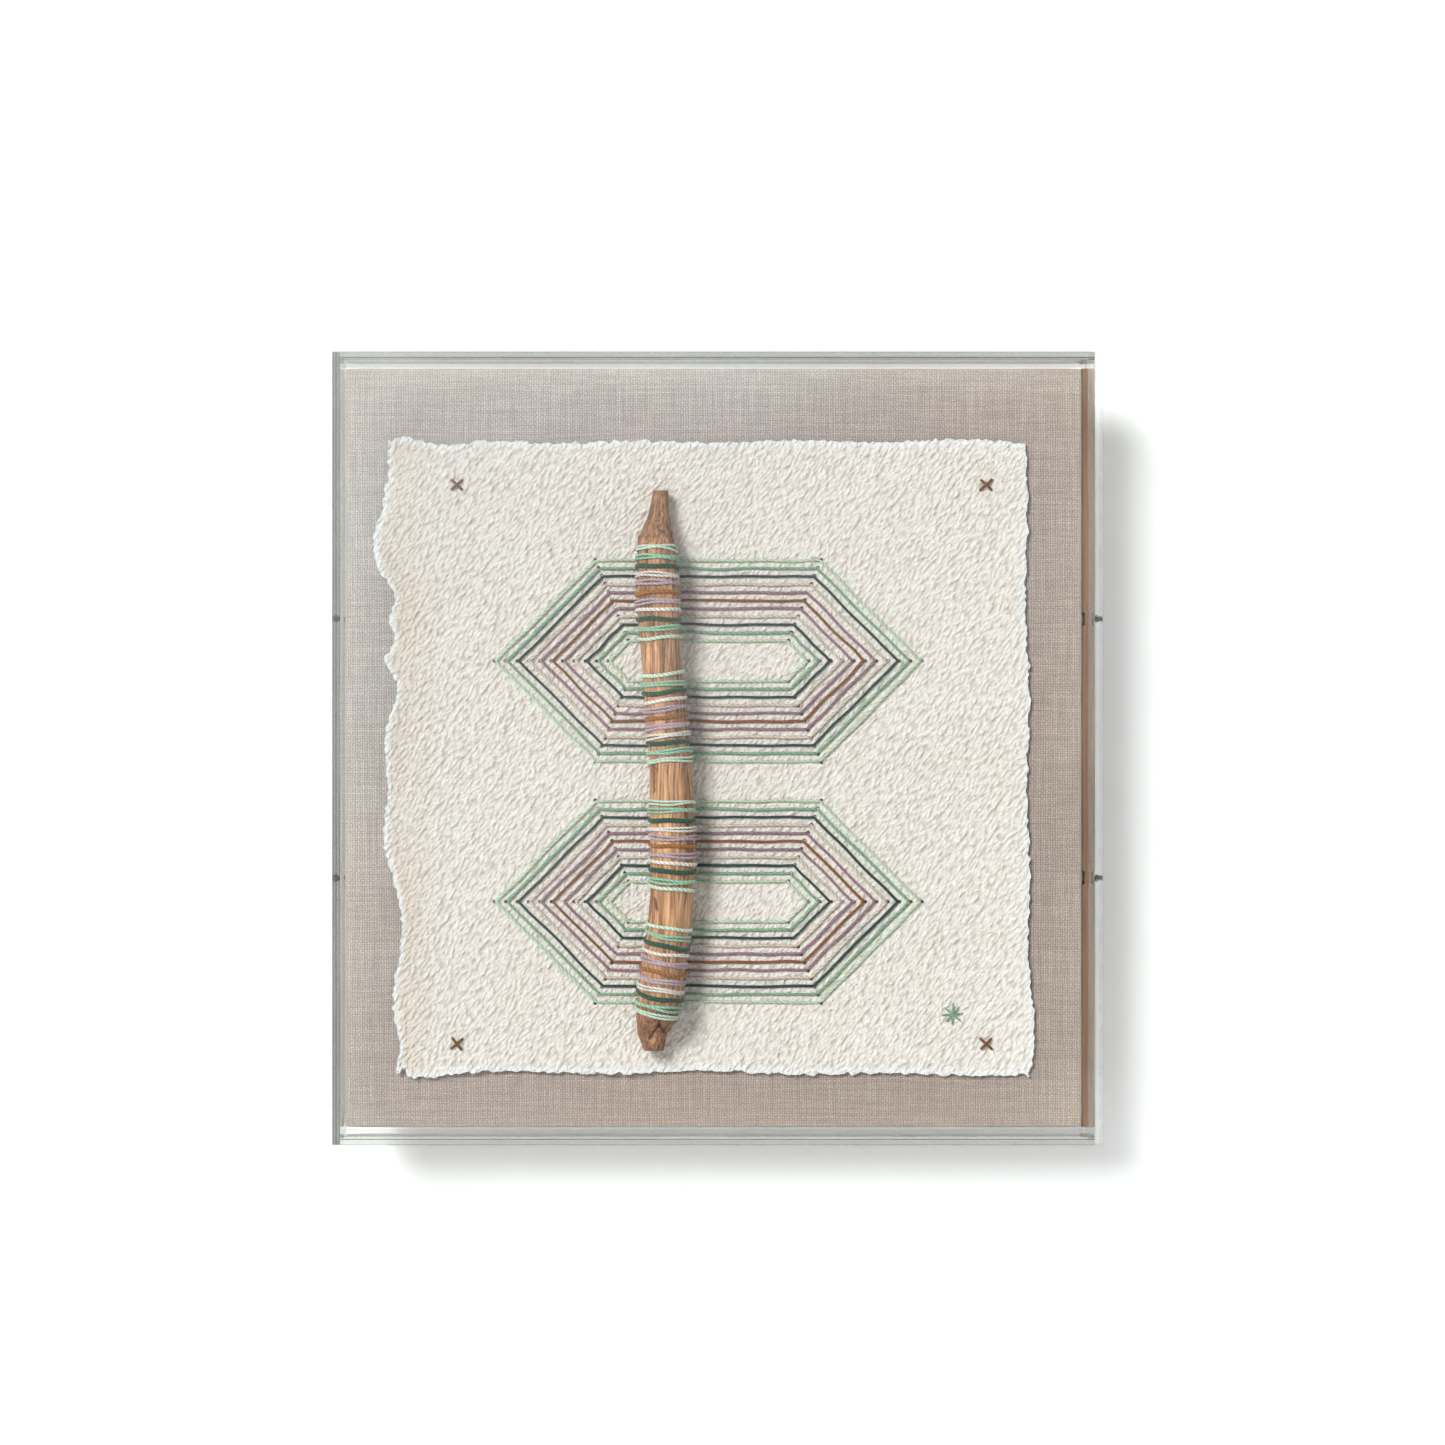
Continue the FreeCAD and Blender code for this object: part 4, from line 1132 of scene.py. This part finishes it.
class STITCHED_OT_marks(bpy.types.Operator):
    """Stitch the corner crosses and the small star"""

    bl_idname = "stitched.marks"
    bl_label = "Corner crosses and star"

    def execute(self, context):
        """Short stitches that rise out of one hole and go down another, crossed over each other."""
        brown = thread_material("stitch_brown_marks", THREAD_COLOURS["stitch_brown"])
        green = thread_material("thread_green_marks", THREAD_COLOURS["thread_green"])
        for part in frame["record"]["subparts"]:
            node = part["node"]
            if node.startswith("corner_cross"):
                self.cross(node, [TURN / 8, -TURN / 8], 6.2 * MM, brown, part["material_slot"], 0.55 * MM)
            if node == "star_stitch":
                headings = [TURN / 8 * step for step in range(4)]
                self.cross(node, headings, 8.0 * MM, green, part["material_slot"], 0.34 * MM)
        return {"FINISHED"}

    def cross(self, node, headings, length, material, slot, radius):
        """One crossed mark at a CAD node's middle."""
        low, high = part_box(node)
        middle = ((low.x + high.x) / 2, (low.z + high.z) / 2)
        rng = np.random.default_rng(sum(map(ord, node)))
        mesh = ThreadMesh(2.0 * MM)
        for layer, heading in enumerate(headings):
            turned = heading + rng.uniform(-0.12, 0.12)
            reach = np.array([math.cos(turned), math.sin(turned)]) * length * rng.uniform(0.46, 0.52)
            samples, dive_share = 26, 0.15
            share = np.linspace(-1, 1, samples)
            hump = (1 - share ** 2) * radius * (0.5 + 2.2 * layer / len(headings))
            dive = np.clip((np.abs(share) - (1 - dive_share)) / dive_share, 0, 1) ** 2 * radius * 2
            y = high.y - radius - hump + dive
            path = np.stack([middle[0] + reach[0] * share, y, middle[1] + reach[1] * share], axis=-1)
            mesh.add(path, radius, radius * 0.9, np.tile([0.0, -1.0, 0.0], (samples, 1)))
        mesh.finish(node + "_stitches", material, node)


class STITCHED_OT_panel_parts(bpy.types.Operator):
    """Finish the rails, boards, strip, washers and screws"""

    bl_idname = "stitched.panel_parts"
    bl_label = "Wood, card and fittings"

    def execute(self, context):
        """CAD nodes whose shape is right keep it and get a finish."""
        pine = (0.60, 0.40, 0.20)
        upright = timber_material("pine_upright", pine, (1, 1, 0.04))
        level = timber_material("pine_level", pine, (0.04, 1, 1))
        board = timber_material("pressed_board", (0.17, 0.09, 0.045), (1, 1, 1), 0.18)
        strip = timber_material("brown_strip", (0.205, 0.105, 0.053), (1, 1, 0.03), 0.3)
        nylon = plain_material("cream_nylon", (0.90, 0.78, 0.64), 0.5, 600.0, 0.02 * MM)
        steel = plain_material("dark_steel", (0.10, 0.09, 0.08), 0.4, 1500.0, 0.01 * MM, Metallic=1.0)
        card = plain_material("riser_card", (0.78, 0.75, 0.70), 0.9, 900.0, 0.03 * MM)
        finishes = {
            "strainer_left": upright,
            "strainer_right": upright,
            "strainer_top": level,
            "strainer_bottom": level,
            "backing_board": board,
            "packing_strip": strip,
            "washer_upper": nylon,
            "washer_lower": nylon,
            "paper_riser": card,
        }
        for spot in ("left_upper", "left_lower", "right_upper", "right_lower"):
            finishes["screw_" + spot] = steel
        for node, material in finishes.items():
            dress_node(node, material)
        return {"FINISHED"}


class STITCHED_OT_clear_box(bpy.types.Operator):
    """Finish the clear front and walls"""

    bl_idname = "stitched.clear_box"
    bl_label = "Clear box"

    def execute(self, context):
        """The front is clear and thin; the walls refract, and the top and bottom stop just short of the sides."""
        dress_node("acrylic_front", clear_front_material())
        for side in ("left", "right"):
            low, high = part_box("acrylic_" + side)
            material = clear_wall_material("clear_" + side, "X", low.x, high.x, WALL_TINTS_AND_PAINTED_BANDS[side])
            dress_node("acrylic_" + side, material)
        for side in ("top", "bottom"):
            node = "acrylic_" + side
            low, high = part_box(node)
            gap = Vector((sizes().wall_gap, sizes().wall_gap, 0.0))
            points, faces = bevelled_box(low + gap, high - gap + Vector((0, sizes().wall_gap, 0)), 0.25 * MM)
            material = clear_wall_material("clear_" + side, "Z", low.z, high.z, WALL_TINTS_AND_PAINTED_BANDS[side])
            make_piece("clear_" + side, points, faces, material, [node], sharp=True)
        return {"FINISHED"}


def plane_object(name, corners, material):
    """A flat four-cornered stage piece."""
    mesh = bpy.data.meshes.new(name)
    mesh.from_pydata(corners, [], [(0, 1, 2, 3)])
    mesh.materials.append(material)
    piece = bpy.data.objects.new(name, mesh)
    bpy.context.scene.collection.objects.link(piece)


def stage_material(name, colour, glow, open_behind):
    """A pale matt surface that shows white to the camera, keeps its shadows, and may be open from behind."""
    material, tree = new_material(name)
    paint = put(tree, "BsdfDiffuse", {"Color": colour})
    path = put(tree, "LightPath")
    direct = times(tree, path.outputs["Is Camera Ray"], glow)
    refracted = times(tree, path.outputs["Is Transmission Ray"], glow + 0.3)
    light = put(tree, "Emission", {"Strength": plus(tree, direct, refracted)})
    front = put(tree, "AddShader", {0: paint.outputs[0], 1: light.outputs[0]})
    if open_behind:
        behind = put(tree, "NewGeometry").outputs["Backfacing"]
        front = mix_shaders(tree, behind, front, put(tree, "BsdfTransparent"))
    return finished(material, front.outputs[0])


class STITCHED_OT_stage(bpy.types.Operator):
    """Set the wall, floor, lamps, world and camera"""

    bl_idname = "stitched.stage"
    bl_label = "Stage"

    def execute(self, context):
        """A white wall just behind, a pale floor below, a lamp from upper left and a camera straight on."""
        scene = context.scene
        scene.view_settings.view_transform = "Standard"
        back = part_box("acrylic_left")[1].y
        wall_y, floor_z, reach = back + 0.030, -0.16, 3.0
        wall = [(x, wall_y, z) for x, z in ((-reach, floor_z), (reach, floor_z), (reach, reach), (-reach, reach))]
        floor = [(x, y, floor_z) for x, y in ((-reach, -reach), (reach, -reach), (reach, reach), (-reach, reach))]
        plane_object("stage_wall", wall, stage_material("white_wall", (0.88, 0.88, 0.88), 0.14, True))
        plane_object("stage_floor", floor, stage_material("pale_floor", (0.80, 0.80, 0.80), 0.20, False))
        self.light(scene)
        self.aim(scene)
        return {"FINISHED"}

    def light(self, scene):
        """A soft sun from upper left in front, a weak one for the back, and an even world."""
        for name, heading, energy, spread in (
            ("key", (0.62, 1.0, -0.58), 2.85, 20),
            ("rear_fill", (-0.3, -1.0, -0.5), 1.8, 30),
        ):
            lamp = bpy.data.lights.new(name, "SUN")
            lamp.energy = energy
            lamp.angle = math.radians(spread)
            holder = bpy.data.objects.new(name, lamp)
            holder.rotation_mode = "QUATERNION"
            holder.rotation_quaternion = Vector(heading).to_track_quat("-Z", "Y")
            scene.collection.objects.link(holder)
        world = bpy.data.worlds.new("studio")
        world.use_nodes = True
        tree = world.node_tree
        tree.nodes.clear()
        path = put(tree, "LightPath")
        shown = calculate(tree, "MAXIMUM", path.outputs["Is Camera Ray"], path.outputs["Is Transmission Ray"])
        strength = plus(tree, times(tree, shown, 0.75), 0.25)
        background = put(tree, "Background", {"Color": (1.0, 1.0, 1.0), "Strength": strength})
        put(tree, "OutputWorld", {"Surface": background.outputs[0]})
        scene.world = world

    def aim(self, scene):
        """Straight on, a little left of the middle, framed as in the photograph."""
        low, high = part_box("acrylic_front")
        sideways = -0.035
        box_left_px, box_right_px, box_top_px = 332.0, 1103.0, 351.5
        metres_per_pixel = (high.x - low.x) / (box_right_px - box_left_px)
        shown = PHOTO_WIDTH * metres_per_pixel
        frame_middle_x = low.x + (PHOTO_WIDTH / 2 - box_left_px) * metres_per_pixel
        frame_middle_z = high.z - (PHOTO_WIDTH / 2 - box_top_px) * metres_per_pixel
        eye_z = (low.z + high.z) / 2
        camera = bpy.data.cameras.new("camera")
        camera.sensor_width = 36.0
        camera.lens = camera.sensor_width * sizes().camera_distance / shown
        camera.shift_x = (frame_middle_x - sideways) / shown
        camera.shift_y = (frame_middle_z - eye_z) / shown
        camera.clip_end = 20.0
        holder = bpy.data.objects.new("camera", camera)
        holder.location = (sideways, low.y - sizes().camera_distance, eye_z)
        holder.rotation_euler = (TURN / 4, 0, 0)
        scene.collection.objects.link(holder)
        scene.camera = holder


class STITCHED_PT_sidebar(bpy.types.Panel):
    """The steps, in order, and the settings"""

    bl_idname = "STITCHED_PT_sidebar"
    bl_label = "Stitched paper"
    bl_space_type = "VIEW_3D"
    bl_region_type = "UI"
    bl_category = "Stitched paper"

    def draw(self, context):
        """List the settings and a button for each step."""
        for settings in (context.scene.stitched_paper_sizes, context.scene.stitched_paper_colours):
            for name in settings.__annotations__:
                self.layout.prop(settings, name)
        for step in STEPS:
            self.layout.operator(step.bl_idname)


STEPS = (
    STITCHED_OT_stage,
    STITCHED_OT_linen,
    STITCHED_OT_paper,
    STITCHED_OT_stick,
    STITCHED_OT_threads,
    STITCHED_OT_marks,
    STITCHED_OT_panel_parts,
    STITCHED_OT_clear_box,
)
CLASSES = (StitchedPaperSizes, StitchedPaperColours, *STEPS, STITCHED_PT_sidebar)


def register():
    """Register the classes and hang the settings on the scene."""
    for kind in CLASSES:
        bpy.utils.register_class(kind)
    bpy.types.Scene.stitched_paper_sizes = bpy.props.PointerProperty(type=StitchedPaperSizes)
    bpy.types.Scene.stitched_paper_colours = bpy.props.PointerProperty(type=StitchedPaperColours)


def unregister():
    """Take the settings and the classes away again."""
    del bpy.types.Scene.stitched_paper_colours
    del bpy.types.Scene.stitched_paper_sizes
    for kind in reversed(CLASSES):
        bpy.utils.unregister_class(kind)


def main():
    """Run every step in order."""
    register()
    for step in STEPS:
        module, name = step.bl_idname.split(".")
        getattr(getattr(bpy.ops, module), name)()


if __name__ == "__main__":
    main()
